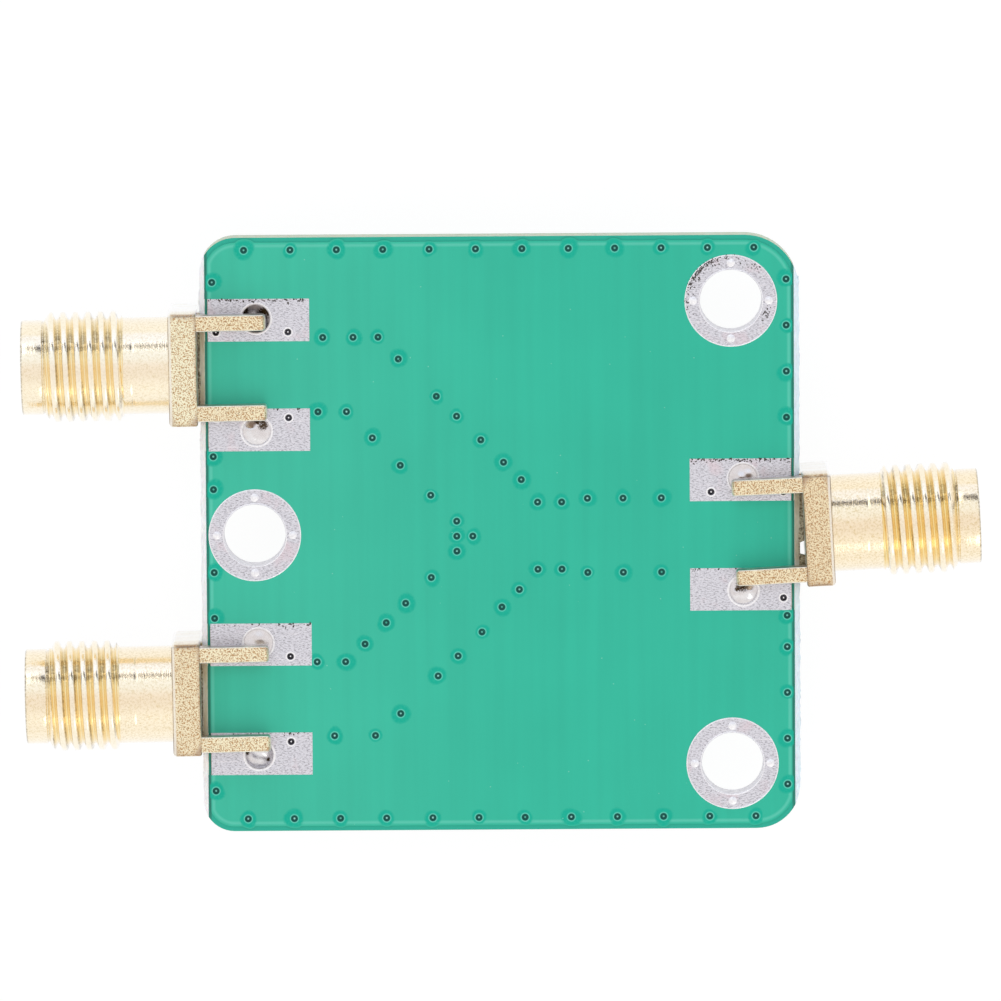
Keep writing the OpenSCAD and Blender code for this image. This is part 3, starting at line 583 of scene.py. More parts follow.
def matte_tin(finish):
    """Tin dipped on copper and levelled with hot air.

    Gives a pale lilac grey that is flat but speckled, with hair scratches and a few pinkish patches.
    """
    material, add, shader, mm = start_material("matte_tin_plate")
    dashes = add("Mapping", {"Vector": mm, "Rotation": (0, 0, 0.7), "Scale": (6.0, 17.0, 10.0)})
    speck = add("TexNoise", {"Vector": dashes, "Scale": 1.0, "Detail": 3.0, "Roughness": 0.75})
    dark = add("MapRange", (speck, 0.34, 0.52, 0.75, 0.0))
    blush = add("TexNoise", {"Vector": mm, "Scale": 0.7, "Detail": 3.0})
    blush = add("MapRange", (blush, 0.56, 0.72, 0.0, 0.5))
    # Hair scratches 0.04 mm wide and some millimetres long
    lean = add("Mapping", {"Vector": mm, "Rotation": (0, 0, 0.5), "Scale": (0.5, 11.0, 1.0)})
    scratch = add("TexNoise", {"Vector": lean, "Scale": 1.0, "Detail": 2.0})
    scratch = add("MapRange", (scratch, 0.66, 0.7, 0.0, 0.5))
    body = finish.tin
    for share, tint in ((dark, finish.tin_dark), (blush, linear("#E6D0D6")), (scratch, linear("#F7F4F8"))):
        body = add("Mix", (share, body, tint))
    finish_shader(add, shader, body, speck, (0.55, 0.4), 0.35, 0.01, Metallic=1.0)
    return material


def bright_solder(finish):
    """Tin alloy that froze as it flowed.

    Gives a soft mirror with frosted patches, and brown flux where an attribute says it was left.
    """
    material, add, shader, mm, flux = start_material("bright_solder", "flux")
    frost = add("TexNoise", {"Vector": mm, "Scale": 4.0, "Detail": 4.0})
    body = add("Mix", (frost, linear("#D2CFD1"), finish.solder))
    fine = add("TexNoise", {"Vector": mm, "Scale": 11.0, "Detail": 3.0, "Roughness": 0.7})
    spots = add("Math", (fine, flux), "MULTIPLY")
    spots = add("MapRange", (spots, 0.24, 0.4))
    body = add("Mix", (spots, body, linear("#4A3A26")))
    finish_shader(add, shader, body, frost, (0.12, 0.34), 0.4, 0.02, span=(0.35, 0.65), Metallic=1.0)
    return material


def glass_laminate(finish):
    """Glass cloth in epoxy, milled on two sides, scored and snapped on the others.

    Gives a pale tan side with cloth layers about 0.18 mm apart, whiter where the fibres broke.
    """
    material, add, shader, mm = start_material("glass_laminate")
    part = add("SeparateXYZ", [mm])
    side = add("Math", [part.outputs[0]], "ABSOLUTE")
    scored = add("MapRange", (side, 16.515, 16.53))
    # The left side is whiter than the right one
    half = add("MapRange", (part.outputs[0], -1.0, 1.0))
    cut = add("Mix", (half, finish.laminate_left, finish.laminate_right))
    body = add("Mix", (scored, finish.laminate, cut))
    # The scored sides are tinted olive between each jack's legs
    olive_tint = 0.0
    for port in PORTS:
        x, y, _ = MOUNTS[port + "_mouth"]["pos_m"]
        away = add("VectorMath", (mm, (math.copysign(16.6, x), y / MM, 4.4)), "DISTANCE")
        near = add("MapRange", (away, 2.2, 2.7, 0.7, 0.0))
        olive_tint = add("Math", (near, olive_tint), "MAXIMUM")
    body = add("Mix", (olive_tint, body, linear("#E9E3CC")))
    fibre_at = add("Mapping", {"Vector": mm, "Scale": (2.5, 2.5, 5.6)})
    fibre = add("TexNoise", {"Vector": fibre_at, "Scale": 1.0, "Detail": 5.0, "Roughness": 0.65})
    tone = add("MapRange", (fibre, 0.3, 0.7, 0.86, 1.08))
    body = add("VectorMath", (body, tone), "SCALE")
    bump = add("Bump", {"Strength": 0.7, "Distance": 0.04 * MM, "Height": fibre})
    plug(shader, {"Base Color": body, "Normal": bump, "Roughness": 0.62, "IOR": 1.52})
    plug(shader, {"Subsurface Weight": 0.1, "Subsurface Scale": 0.3 * MM})
    return material


def simple_finish(name, pale, deep, grain_mm, metallic, roughness, relief_mm, spread=(0.35, 0.65)):
    """A finish of two close tones in grains of a real size, whose roughness and relief follow the grain."""
    material, add, shader, mm = start_material(name)
    grain = add("TexNoise", {"Vector": mm, "Scale": 1.0 / grain_mm, "Detail": 3.0})
    tone = add("MapRange", (grain, *spread))
    body = add("Mix", (tone, linear(deep), linear(pale)))
    rough = (roughness * 1.15, roughness * 0.85)
    finish_shader(add, shader, body, grain, rough, 0.4, relief_mm, Metallic=metallic)
    return material


# Operators


class DIVIDER_OT_finishes(bpy.types.Operator):
    """Make every finish and put it on the carried CAD nodes"""

    bl_idname = "divider.finishes"
    bl_label = "Finishes"

    # Name, pale and deep tone, size of the grain in mm, metallic, roughness, relief in mm
    SIMPLE = (
        # Rolled copper foil and barrel plating: warm, with fine rolling grain
        ("copper_foil", "#D69C74", "#B97B55", 0.12, 1.0, 0.35, 0.004),
        # Tinned hole wall: dull grey, uneven where the drill tore the glass
        ("tinned_hole_wall", "#E9E8ED", "#C9C7CE", 0.12, 1.0, 0.4, 0.01),
        # Painted shade: plating inside a small via coloured dull and dark, as it lies mostly in its own
        # shade
        ("via_wall_painted_shade", "#7C7468", "#4B463F", 0.08, 1.0, 0.45, 0.01),
        # Cut and polished PTFE: waxy white
        ("cut_ptfe", "#F4F3EF", "#E6E4DE", 0.25, 0.0, 0.4, 0.006),
        # Fired alumina: white and slightly rough
        ("fired_alumina", "#F1EFE8", "#DAD7CE", 0.06, 0.0, 0.5, 0.006),
        # Black glass overcoat of a chip resistor: smooth, with a soft gloss
        ("black_overcoat", "#1B1C1F", "#111214", 0.2, 0.0, 0.22, 0.004),
        # Plated end caps: bright, slightly dimpled
        ("plated_end_cap", "#DAD8DA", "#B9B6B8", 0.07, 1.0, 0.28, 0.006),
        # Tin where it stands proud: near white and matte, partly painted highlight for the light its raised
        # rims catch
        ("white_tin_highlight", "#FFFFFF", "#EFEDF0", 0.1, 1.0, 0.55, 0.006),
        # Painted shade: tin coloured nearly black for the shade inside a small bore
        ("painted_shade_tin", "#5C5A60", "#201F23", 0.09, 1.0, 0.5, 0.01),
        # Torn glass: olive brown, streaked
        ("torn_glass", "#C9C2A8", "#5F563F", 0.11, 0.0, 0.5, 0.03, (0.38, 0.62)),
        # Flux residue and dross: dark brown and rough
        ("dross", "#4B4038", "#1E1915", 0.05, 0.0, 0.6, 0.01),
    )
    CARRIED = {
        "glass_laminate": ("laminate",),
        "copper_foil": ("back_copper", "ground_copper", "signal_traces"),
        "solder_mask": ("back_mask", "front_mask"),
        "matte_tin_plate": ("back_tin", "front_tin"),
        "via_wall_painted_shade": ("via_plating",),
        "tinned_hole_wall": ("mounting_hole_plating", "pad_hole_plating"),
        "white_tin_highlight": ("ring_via_solder",),
        "bright_solder": ("pad_hole_solder",),
    }
    CARRIED_AT_EACH_PORT = {
        "cut_ptfe": ("jack_insulator",),
        "contact_gold_plate": ("jack_contact",),
        "bright_solder": ("jack_solder", "resistor_solder"),
        "fired_alumina": ("resistor_core",),
        "black_overcoat": ("resistor_film",),
        "plated_end_cap": ("resistor_caps",),
    }

    def execute(self, context):
        finish = context.scene.divider_finish
        for make in (board_mask, satin_gold, matte_tin, bright_solder, glass_laminate):
            make(finish)
        turned_gold(finish, "turned_gold_plate")
        turned_gold(finish, "contact_gold_plate", from_object=True)
        for values in self.SIMPLE:
            simple_finish(*values)
        waxy = bpy.data.materials["cut_ptfe"].node_tree.nodes["Principled BSDF"]
        plug(waxy, {"Subsurface Weight": 0.2, "Subsurface Scale": 0.6 * MM})
        carried = [(name, kind) for kind, names in self.CARRIED.items() for name in names]
        for kind, names in self.CARRIED_AT_EACH_PORT.items():
            carried += [(f"{port}_{name}", kind) for port in PORTS for name in names]
        for name, kind in carried:
            mesh = frame["nodes"][name].data
            mesh.materials.clear()
            mesh.materials.append(bpy.data.materials[kind])
        return {"FINISHED"}


class DIVIDER_OT_barrels(bpy.types.Operator):
    """Turn the three barrels: neck, right-hand thread, pilot lip, counterbore and inner bore"""

    bl_idname = "divider.barrels"
    bl_label = "Threaded barrels"

    # Where a crest meets the sideways direction and where the thread starts, both from the flange's
    # back in mm, and how much paler than the common jack each one is coloured
    THREADS = {"branch_a": (7.89, 4.15, 0.32), "branch_b": (7.757, 4.6, 0.16), "common": (8.14, 4.4, 0.0)}
    AROUND = 176

    def back_quarter(self, body, side, up):
        """1 on the upper quarter that faces the board's back edge, falling to 0 over 15 degrees."""
        turn = np.arctan2(side * body.to_back, up)
        return bell(turn - math.radians(41), math.radians(15))

    def turned(self, stations):
        """Plain turned part: radius given at each station, carried round the axis."""
        station, radius = np.array(stations, float).T
        angle = around(self.AROUND)
        return np.broadcast_arrays(station, radius * np.cos(angle), radius * np.sin(angle))

    def thread(self, jack, crest_at, start):
        """Thread: each point of a 60 degree profile moves one pitch along the axis per turn.

        Station = reference + pitch * (turn number + place in profile + angle / full turn), kept between
        the two ends. Radius = the profile's, but never over the run-outs' straight lines.
        """
        place = np.array([0, 0.05, 0.08, 0.12, 0.2, 0.27, 0.31, 0.35, 0.42])
        rise = np.array([0, 0.01, 0.06, 0.19, 0.52, 0.8, 0.91, 0.965, 0.992])
        place = np.concatenate([place, [0.5], 1 - place[:0:-1]])
        rise = np.concatenate([rise, [1], rise[:0:-1]])
        a, b = start, jack.thread_end
        turns = int((b - a) / jack.pitch) + 3
        place_all = (np.arange(turns)[:, None] + place).ravel()
        rise_all = np.tile(rise, turns)
        first = crest_at - 0.5 * jack.pitch
        first -= jack.pitch * math.ceil((first - a) / jack.pitch + 1)
        angle = around(self.AROUND)
        raw = first + jack.pitch * (place_all + angle / (2 * math.pi))
        station = np.clip(raw, a, b)
        limit = np.interp(
            station, [a, a + 0.02, a + 0.24, b - 0.34, b - 0.08, b],
            [jack.neck_r, jack.neck_r, jack.thread_r, jack.thread_r, 2.74, jack.relief_r],
        )
        radius = np.minimum(jack.root_r + rise_all * (jack.thread_r - jack.root_r), limit)
        radius = np.where(raw <= a, jack.neck_r, np.where(raw >= b, jack.relief_r, radius))
        rows, columns = radius.shape
        # The last line joins the first one turn further along the profile
        j = np.arange(columns - 1 - len(place))
        last = (rows - 1) * columns
        seam = np.stack([last + j, j + len(place), j + 1 + len(place), last + j + 1], -1)
        return station, radius, angle, np.concatenate([sheet_faces(rows, columns), seam])

    def execute(self, context):
        jack = context.scene.divider_jack
        end, bore, mouth, bevel = jack.length, jack.bore_r, jack.mouth_r, jack.mouth_bevel
        neck_r, lip, groove, groove_r = jack.neck_r, jack.lip_r, jack.thread_end, jack.relief_r
        for port in PORTS:
            body = Jack(port, jack)
            crest_at, start, pale = self.THREADS[port]
            neck = [(1.2, bore)] + [(s, neck_r) for s in (1.2, 1.8, 2.6, 3.5, 3.56)]
            # A shallow scribed line runs round the neck
            neck += [(3.6, neck_r - 0.012), (3.64, neck_r - 0.02), (3.68, neck_r - 0.012)]
            neck += [(s, neck_r) for s in (3.72, 3.78, 3.9, start - 0.05, start)]
            front = [
                (groove, groove_r), (groove + 0.05, groove_r), (groove + 0.09, 2.65), (groove + 0.16, lip),
                (9.1, lip), (9.5, lip), (end - 0.1, lip), (end - 0.04, lip - 0.02), (end, lip - 0.08),
                (end, mouth + bevel), (end - 0.04, mouth + 0.04), (end - bevel, mouth),
                (jack.floor_at, mouth), (jack.floor_at, bore), (1.2, bore),
            ]
            sheets = []
            for stations in (neck, front):
                s, a, b = self.turned(stations)
                # Painted shade sits in the relief groove, most on the upper back quarter where it paints a
                # dark reflection; the front edge is darker too
                ring = bell(s - groove - 0.04, 0.06)
                grime = ring * (0.2 + 0.9 * self.back_quarter(body, a, b))
                grime = grime + 0.55 * ((s > end - 0.05) & (np.hypot(a, b) > 2.5))
                marks = {"valley": 0.0, "grime": grime, "pale": pale}
                sheets.append(sheet(body.place(s, a, b), wrap_rows=True, **marks))
            s, r, angle, faces = self.thread(jack, crest_at, start)
            low = np.clip((jack.thread_r - r) / (jack.thread_r - jack.root_r), 0, 1)
            points = body.place(s, r * np.cos(angle), r * np.sin(angle))
            # Painted shade deep in the valleys, most on the upper back quarter, with grime spots in places
            spots = smooth_noise(40 + len(port), s, angle, scale=3.0)
            back = self.back_quarter(body, np.cos(angle), np.sin(angle))
            grime = low**2 * (0.5 * back + 0.4 * np.clip(spots - 0.7, 0, 1))
            # Painted shade: a broken dark line along each valley's outer wall
            near = np.clip(1 - np.abs(low - 0.35) / 0.3, 0, 1) * (np.gradient(r, axis=1) > 0)
            breaks = smooth_noise(50 + len(port), 3.0 * np.cos(angle), 3.0 * np.sin(angle), s, scale=2.2)
            grime = np.maximum(grime, 0.9 * near * np.clip(1.6 * breaks + 0.1, 0, 1))
            # Painted highlight on the crests
            crest = 0.45 * np.clip(1 - low / 0.2, 0, 1)
            marks = {"valley": low, "grime": grime, "crest": crest, "pale": 0 * low + pale}
            sheets.append((points.reshape(-1, 3), faces, {k: v.ravel() for k, v in marks.items()}))
            add_piece(
                port + "_barrel", sheets, "turned_gold_plate",
                replaced=[port + "_jack_body"], crease=50, local=body.local,
            )
        return {"FINISHED"}


class DIVIDER_OT_flanges(bpy.types.Operator):
    """Mill the three square flanges and their twelve legs"""

    bl_idname = "divider.flanges"
    bl_label = "Flanges and legs"

    # How much darker than the palest each flange and its legs are coloured
    SHADE = {"branch_a": (-0.02, 0.06), "branch_b": (0.07, 0.03), "common": (0.12, 0.09)}
    # How strongly the painted dark line along each flange's edges shows
    LINE = {"branch_a": 0.55, "branch_b": 0.85, "common": 0.85}
    # How far the upper legs stand off their place, towards the board's back edge, and their extra length
    SHIFT = {"branch_a": (0.08, 0.0), "branch_b": (0.0, 0.0), "common": (0.08, 0.08)}

    def flange(self, jack, body, seed):
        """Section (station, inset, share towards the bore) carried along the square's rounded outline.

        Outer point = outline - normal * inset, inner point = the bore's circle at the same angle, and
        the share mixes the two.
        """
        half = jack.flange_side / 2
        path, normal = rounded_path(half, half, jack.corner, along=44, round_corner=6)
        d, f, b = jack.flange_depth, jack.front_bevel, jack.back_bevel
        shares = (1, 0.6, 0.3, 0.12)
        station, inset, share = np.array(
            [(0, b, share) for share in shares] + [(0, b, 0), (0.02, 0.05, 0), (0.06, 0.015, 0)]
            + [(s, 0, 0) for s in np.linspace(b, d - f, 15)]
            + [(d - 0.14, 0.015, 0), (d - 0.08, 0.05, 0), (d - 0.05, 0.08, 0), (d - 0.03, 0.12, 0)]
            + [(d - 0.01, 0.16, 0), (d, f, 0)] + [(d, f, share) for share in shares[::-1]]
        ).T
        angle = np.arctan2(path[:, 1], path[:, 0])
        circle = jack.bore_r * np.stack([np.cos(angle), np.sin(angle)], -1)
        wall = share == 0
        dent = np.abs(0.012 * smooth_noise(seed, path[:, :1], path[:, 1:], station, scale=2.2)) * wall
        outer = path[:, None] - normal[:, None] * (inset + dent)[..., None]
        flat = outer * (1 - share)[:, None] + circle[:, None] * share[:, None]
        along = np.minimum(station, d - station)
        corner = half - np.minimum(np.abs(path[:, :1]), np.abs(path[:, 1:]))
        edge = np.exp(-along / 0.2 - share / 0.15) + wall * np.exp(-corner / 0.35)
        # Painted highlight along the front bevel
        rim = 0.75 * ((inset > 0) & (station > d - 0.2) & (inset < 0.1) & wall)
        # Painted shade: a dark line along the front and back edges
        line = np.where(wall, np.clip((station - d + 0.05) / 0.03, 0, 1) * 0.9 + (station < 0.03) * 0.7, 0)
        # The painted dark line also runs on the corners at the top, the one towards the board's back edge
        # most
        turn = np.degrees(np.arctan2(normal[:, 1], normal[:, 0] * body.to_back))[:, None]
        for at, share_there in ((62, 0.9), (120, 0.5)):
            line = np.maximum(line, share_there * bell(turn - at, 12) * wall)
        return sheet(
            body.place(station, flat[..., 0], flat[..., 1]), wrap_rows=True, wrap_columns=True,
            edge=np.clip(edge, 0, 1), rim=rim, line=line * self.LINE[body.port],
            shade=self.SHADE[body.port][0],
        )

    def leg(self, jack, body, side, face, thick, grow, seed, shift=0.0, extra=0.0):
        """Bar with a bevelled section that runs back from the flange and rounds off at its end.

        Half width near the end = half width - r + root(r^2 - (r - distance)^2), and the end closes in
        two rings.
        """
        half_w, half_t, r = jack.leg_width / 2, thick / 2, 0.2
        length, bevel_length = jack.leg_length + extra, 0.15
        path, _ = rounded_path(half_w, half_t, 0.07, along=9, round_corner=4)
        distance = np.append([0, 0, 0.01, 0.04, 0.09, 0.15], np.linspace(0.2, length + 0.15, 46))
        near = np.clip(distance, 0, r)
        width = np.append((half_w - r + np.sqrt(r * r - (r - near) ** 2)) / half_w, 1)
        bevel = 1 - 0.5 * np.clip(1 - distance / bevel_length, 0, 1) * bevel_length / half_t
        bevel = np.append(bevel, 1)
        # The last ring closes the bar inside the flange
        squeeze = np.ones(len(distance) + 1)
        squeeze[[0, 1, -1]] = 0, 0.6, 0
        last_twice = np.r_[: len(distance), -1]
        x = (distance - length)[last_twice]
        wave = 0.012 * smooth_noise(seed, x, scale=1.3)
        a = path[None, :, 0] * (width * squeeze)[:, None] + wave[:, None]
        a = a + side * jack.leg_pitch / 2 + shift
        h = path[None, :, 1] * (bevel * squeeze)[:, None]
        up = face + grow * (half_t * bevel[:, None] + grow * h)
        across, depth = np.abs(path[:, 0]), np.abs(path[:, 1])
        edge = np.exp(-(half_w - across) / 0.1) + np.exp(-distance / 0.2)[last_twice][:, None]
        bend = (across > half_w - 0.06) & (depth > half_t - 0.06)
        # Painted highlight on the rounded long edges and at the end; a painted dark line on the side walls
        # and at the very end
        rim = np.maximum(bend * 0.7, (np.append(distance, 9) < 0.06)[:, None] * 0.6)
        line = np.maximum((depth < half_t - 0.04) * 0.6, (distance < 0.02)[last_twice][:, None] * 0.5)
        return sheet(
            body.place(x[:, None], a, up), wrap_columns=True,
            edge=np.clip(edge, 0, 1), rim=rim, line=line, shade=self.SHADE[body.port][1],
        )

    def execute(self, context):
        jack = context.scene.divider_jack
        (back_face, _), (front_face, _) = both_faces("back_tin", "front_tin")
        # The upper legs reach nearly to the flange's top
        top = jack.flange_side / 2 - 0.08
        for i, port in enumerate(PORTS):
            body = Jack(port, jack)
            face, under = back_face - body.origin[2], front_face - body.origin[2]
            shift, extra = self.SHIFT[port]
            shift *= body.to_back
            sheets = [self.flange(jack, body, 3 + i)]
            for k, side in enumerate((1, -1)):
                seed = 4 * i + k
                sheets.append(self.leg(jack, body, side, face, top - face, 1, 11 + seed, shift, extra))
                sheets.append(self.leg(jack, body, side, under, jack.leg_depth, -1, 31 + seed))
            add_piece(
                port + "_flange_and_legs", sheets, "satin_gold_plate",
                replaced=[port + "_jack_body"], crease=42, local=body.local,
            )
        return {"FINISHED"}


class DIVIDER_OT_vias(bpy.types.Operator):
    """Pool the mask round each covered via, and rim each bare one with tin"""

    bl_idname = "divider.vias"
    bl_label = "Via collars and rims"

    def execute(self, context):
        board = context.scene.divider_board
        vias = hole_centres("via_plating", 0.42)
        tin_xy = np.unique(np.round(node_points("back_tin")[:, :2], 3), axis=0)
        gap = np.sqrt(((vias[:, None] - tin_xy[None]) ** 2).sum(-1)).min(1)
        bare, covered = vias[gap < 0.17], vias[gap >= 0.17]
        rings = hole_centres("ring_via_solder", 0.5)
        r, h = board.via_r, board.halo_r
        angle = around(18)
        # Each collar plugs the bore with a dimple, rises over a low lip and thins to nothing in the
        # mask. Its rows are: out, height, pooled, dark wall as painted shade of the bore, painted glint,
        # pale lip as painted highlight
        out, height, pool, wall, speck, lip = np.array([
            (0, -0.05, 0, 0, 1, 0), (0.04, -0.05, 0, 0.1, 0.8, 0), (0.07, -0.07, 0, 1, 0, 0),
            (0.12, -0.05, 0, 1, 0, 0), (r, 0.001, 0, 1, 0, 0), (r + 0.04, 0.004, 0, 1, 0, 0),
            (r + 0.055, 0.008, 0.3, 0.3, 0, 0.3), (r + 0.08, 0.013, 0.6, 0, 0, 0.7),
            (r + 0.12, 0.012, 1, 0, 0, 0.1), (r + 0.16, 0.01, 1, 0, 0, 0), (h, 0.006, 0.9, 0, 0, 0),
            (h + 0.12, -0.001, 0, 0, 0, 0), (r, -0.18, 0, 0, 0, 0), (0, -0.18, 0, 0, 0, 0),
        ]).T
        rng = np.random.default_rng(4)
        sheets = []
        for level, turn in both_faces("back_mask", "front_mask"):
            for k, (x, y) in enumerate(covered):
                uneven = 1 + 0.2 * smooth_noise(100 + k, np.cos(angle), np.sin(angle), scale=1.4)
                spread = np.where(out > r + 0.17, out * uneven * rng.uniform(0.85, 1.15), out + 0 * uneven)
                points = carried_round(x, y, level, turn, spread, height, angle)
                # No collar runs past the mask's edge
                points[..., 0] = np.clip(points[..., 0], -16.44, 16.44)
                points[..., 1] = np.clip(points[..., 1], -16.74, 16.74)
                glint = speck * rng.uniform(0.05, 0.9)
                sheets.append(sheet(points, True, True, pool=pool, wall=wall, speck=glint, lip=lip))
        add_piece("via_collars", sheets, "solder_mask")
        # Each bare via has a raised rim, a dimpled plug coloured nearly black as painted shade of its bore,
        # and a small painted glint in its middle
        rim = [
            (r + 0.03, -0.01), (r + 0.05, 0.004), (r + 0.085, 0.014), (r + 0.14, -0.002), (r + 0.08, -0.03),
        ]
        shade_plug_rows = [
            (0, -0.05), (0.05, -0.055), (0.09, -0.07), (r, 0.001), (r + 0.03, 0.006), (r + 0.055, -0.002),
            (r + 0.03, -0.02), (r, -0.2), (0, -0.2),
        ]
        glint = [(0, -0.038), (0.025, -0.04), (0.045, -0.052), (0, -0.07)]
        rims, shade_plugs = [], []
        for level, turn in both_faces("back_tin", "front_tin"):
            for x, y in bare:
                if np.sqrt(((rings - (x, y)) ** 2).sum(-1)).min() < 0.1:
                    continue
                for rows, found in ((rim, rims), (shade_plug_rows, shade_plugs), (glint, rims)):
                    points = carried_round(x, y, level, turn, *np.array(rows).T, angle)
                    found.append(sheet(points, True, True))
        add_piece("bare_via_rims", rims, "white_tin_highlight")
        add_piece("bare_via_shade_plugs", shade_plugs, "painted_shade_tin")
        return {"FINISHED"}


class DIVIDER_OT_rims(bpy.types.Operator):
    """Raise the bright rims of the pad holes and of the mounting rings' inner and outer edges"""

    bl_idname = "divider.rims"
    bl_label = "Hole rims"

    def execute(self, context):
        board = context.scene.divider_board
        holes = hole_centres("pad_hole_plating", 1.8)
        mounts = [np.array(m["pos_m"][:2]) / MM for n, m in MOUNTS.items() if n.startswith("mounting")]
        # Middles, inner radius, width, depth of the skirt below the level, and points around
        kinds = (
            (holes, board.pad_hole_r, board.rim_width, -0.13, 48),
            (mounts, board.mount_hole_r, board.ring_rim_width, -0.13, 96),
            (mounts, board.ring_r, board.ring_rim_width, -0.03, 112),
        )
        sheets = []
        for level, turn in both_faces("back_tin", "front_tin"):
            for centres, inner, width, deep, count in kinds:
                out, height = np.array([
                    (inner - 0.014, deep), (inner - 0.014, -0.02), (inner + 0.005, 0.0),
                    (inner + 0.4 * width, 0.018), (inner + width, -0.002), (inner + 0.5 * width, deep),
                ]).T
                for x, y in centres:
                    points = carried_round(x, y, level, turn, out, height, around(count))
                    sheets.append(sheet(points, True, True))
        # The rims take the near white tin, partly painted highlight
        add_piece("hole_rims", sheets, "white_tin_highlight")
        return {"FINISHED"}


class DIVIDER_OT_pad_solder(bpy.types.Operator):
    """Fill the six pad holes with solder, each as far as it was drawn up"""

    bl_idname = "divider.pad_solder"
    bl_label = "Pad hole solder"

    # For each hole from the top left down, then the right: level at the wall and dome
    LEVELS = ((-0.5, 0.0), (-0.06, 0.1), (-0.02, 0.04), (-0.4, 0.0), (-0.02, 0.03), (-0.12, 0.05))
    # Its lumps as (x, y, height, spread) in mm from the hole's middle
    LUMPS = (
        [(-0.12, 0.08, 0.42, 0.3), (0.2, -0.3, 0.3, 0.25)],
        [(-0.3, 0.1, 0.14, 0.2), (-0.2, -0.35, 0.1, 0.2)],
        [(0.1, 0.2, 0.05, 0.2)],
        [(0.15, 0.3, 0.4, 0.4)],
        [(-0.1, 0.1, 0.09, 0.13), (0.3, 0.3, 0.08, 0.12), (-0.35, -0.2, 0.07, 0.12)],
        [(0.3, -0.05, 0.14, 0.22), (-0.4, -0.2, 0.1, 0.2)],
    )
    # Its flux as (x, y, spread)
    FLUX = (
        [(0.5, 0.3, 0.35), (-0.6, 0.4, 0.25)], [(0.35, 0.35, 0.28), (0.05, 0.6, 0.2)],
        [(0.3, -0.5, 0.12)], [(0.5, -0.3, 0.12), (-0.7, 0.1, 0.15)], [],
        [(-0.1, 0.28, 0.34), (-0.35, 0.1, 0.15)],
    )

    def mound(self, x, y, spot):
        """A round hump of height 1 at the spot (x, y, ..., spread): e ^ -(distance^2 / (2 * spread^2))."""
        return np.exp(-((x - spot[0]) ** 2 + (y - spot[1]) ** 2) / (2 * spot[-1] ** 2))

    def execute(self, context):
        board = context.scene.divider_board
        (top, _), (bottom, _) = both_faces("back_tin", "front_tin")
        holes = hole_centres("pad_hole_plating", 1.8)
        holes = sorted(holes.tolist(), key=lambda hole: (hole[0] > 0, -hole[1]))
        if len(holes) != len(self.LEVELS):
            raise RuntimeError(f"expected {len(self.LEVELS)} pad holes and found {len(holes)}")
        angle = around(56)
        share = np.append(np.linspace(0, 0.94, 18), [0.985, 1.0])
        x, y = board.pad_hole_r * share * np.cos(angle), board.pad_hole_r * share * np.sin(angle)
        under = bottom - 0.12 * (1 - share[::-1] ** 2) + 0 * angle
        sheets = []
        for k, (hole, (level, dome)) in enumerate(zip(holes, self.LEVELS)):
            height = level + dome * (1 - share**2) + 0 * angle
            for spot in self.LUMPS[k]:
                height = height + spot[2] * self.mound(x, y, spot) * (1 - share**6)
            height = height + 0.03 * smooth_noise(60 + k, x, y, scale=4.5) * (1 - share**4)
            flux = 0 * x
            for spot in self.FLUX[k]:
                flux = np.maximum(flux, self.mound(x, y, spot))
            upper, lower = (x, y, top + height, flux), (x[:, ::-1], y[:, ::-1], under, 0 * flux)
            px, py, pz, flux = (np.concatenate(pair, 1) for pair in zip(upper, lower))
            sheets.append(sheet(xyz(px + hole[0], py + hole[1], pz), True, False, flux=flux))
        replaced = ["pad_hole_solder"]
        add_piece("pad_hole_fill", sheets, "bright_solder", replaced=replaced, crease=50)
        return {"FINISHED"}


class DIVIDER_OT_edges(bpy.types.Operator):
    """Break the webs of the scored edges into ragged glass"""

    bl_idname = "divider.edges"
    bl_label = "Snapped edges"

    def execute(self, context):
        board = context.scene.divider_board
        y = np.linspace(-board.half_width + 2.2, board.half_width - 2.4, 560)
        z = np.linspace(-0.5, 0.5, 9) * (board.web + 0.04)
        root = board.half_length - 0.12
        sheets = []
        for side in (-1, 1):
            rough = 0.6 * smooth_noise(5 + side, y[:, None], z[None], scale=5.0)
            rough = rough + 0.6 * smooth_noise(8 + side, y[:, None], z[None], scale=17.0)
            out = board.half_length + board.ragged * (0.2 + rough) * np.cos(math.pi * z / (board.web + 0.2))
            x = np.concatenate([out, np.full((len(y), 2), root)], 1)
            x[[0, -1]] = root
            height = board_middle() + np.append(z, [z[-1] * 0.8, z[0] * 0.8])
            points = xyz(side * x, y[:, None], height)
            sheets.append(sheet(points, False, True))
            for ring in points[[0, -1]]:
                cap = np.stack([ring, np.repeat(ring.mean(0)[None], len(ring), 0)], 0)
                sheets.append(sheet(cap, False, True))
        add_piece("snapped_webs", sheets, "glass_laminate", crease=70)
        return {"FINISHED"}


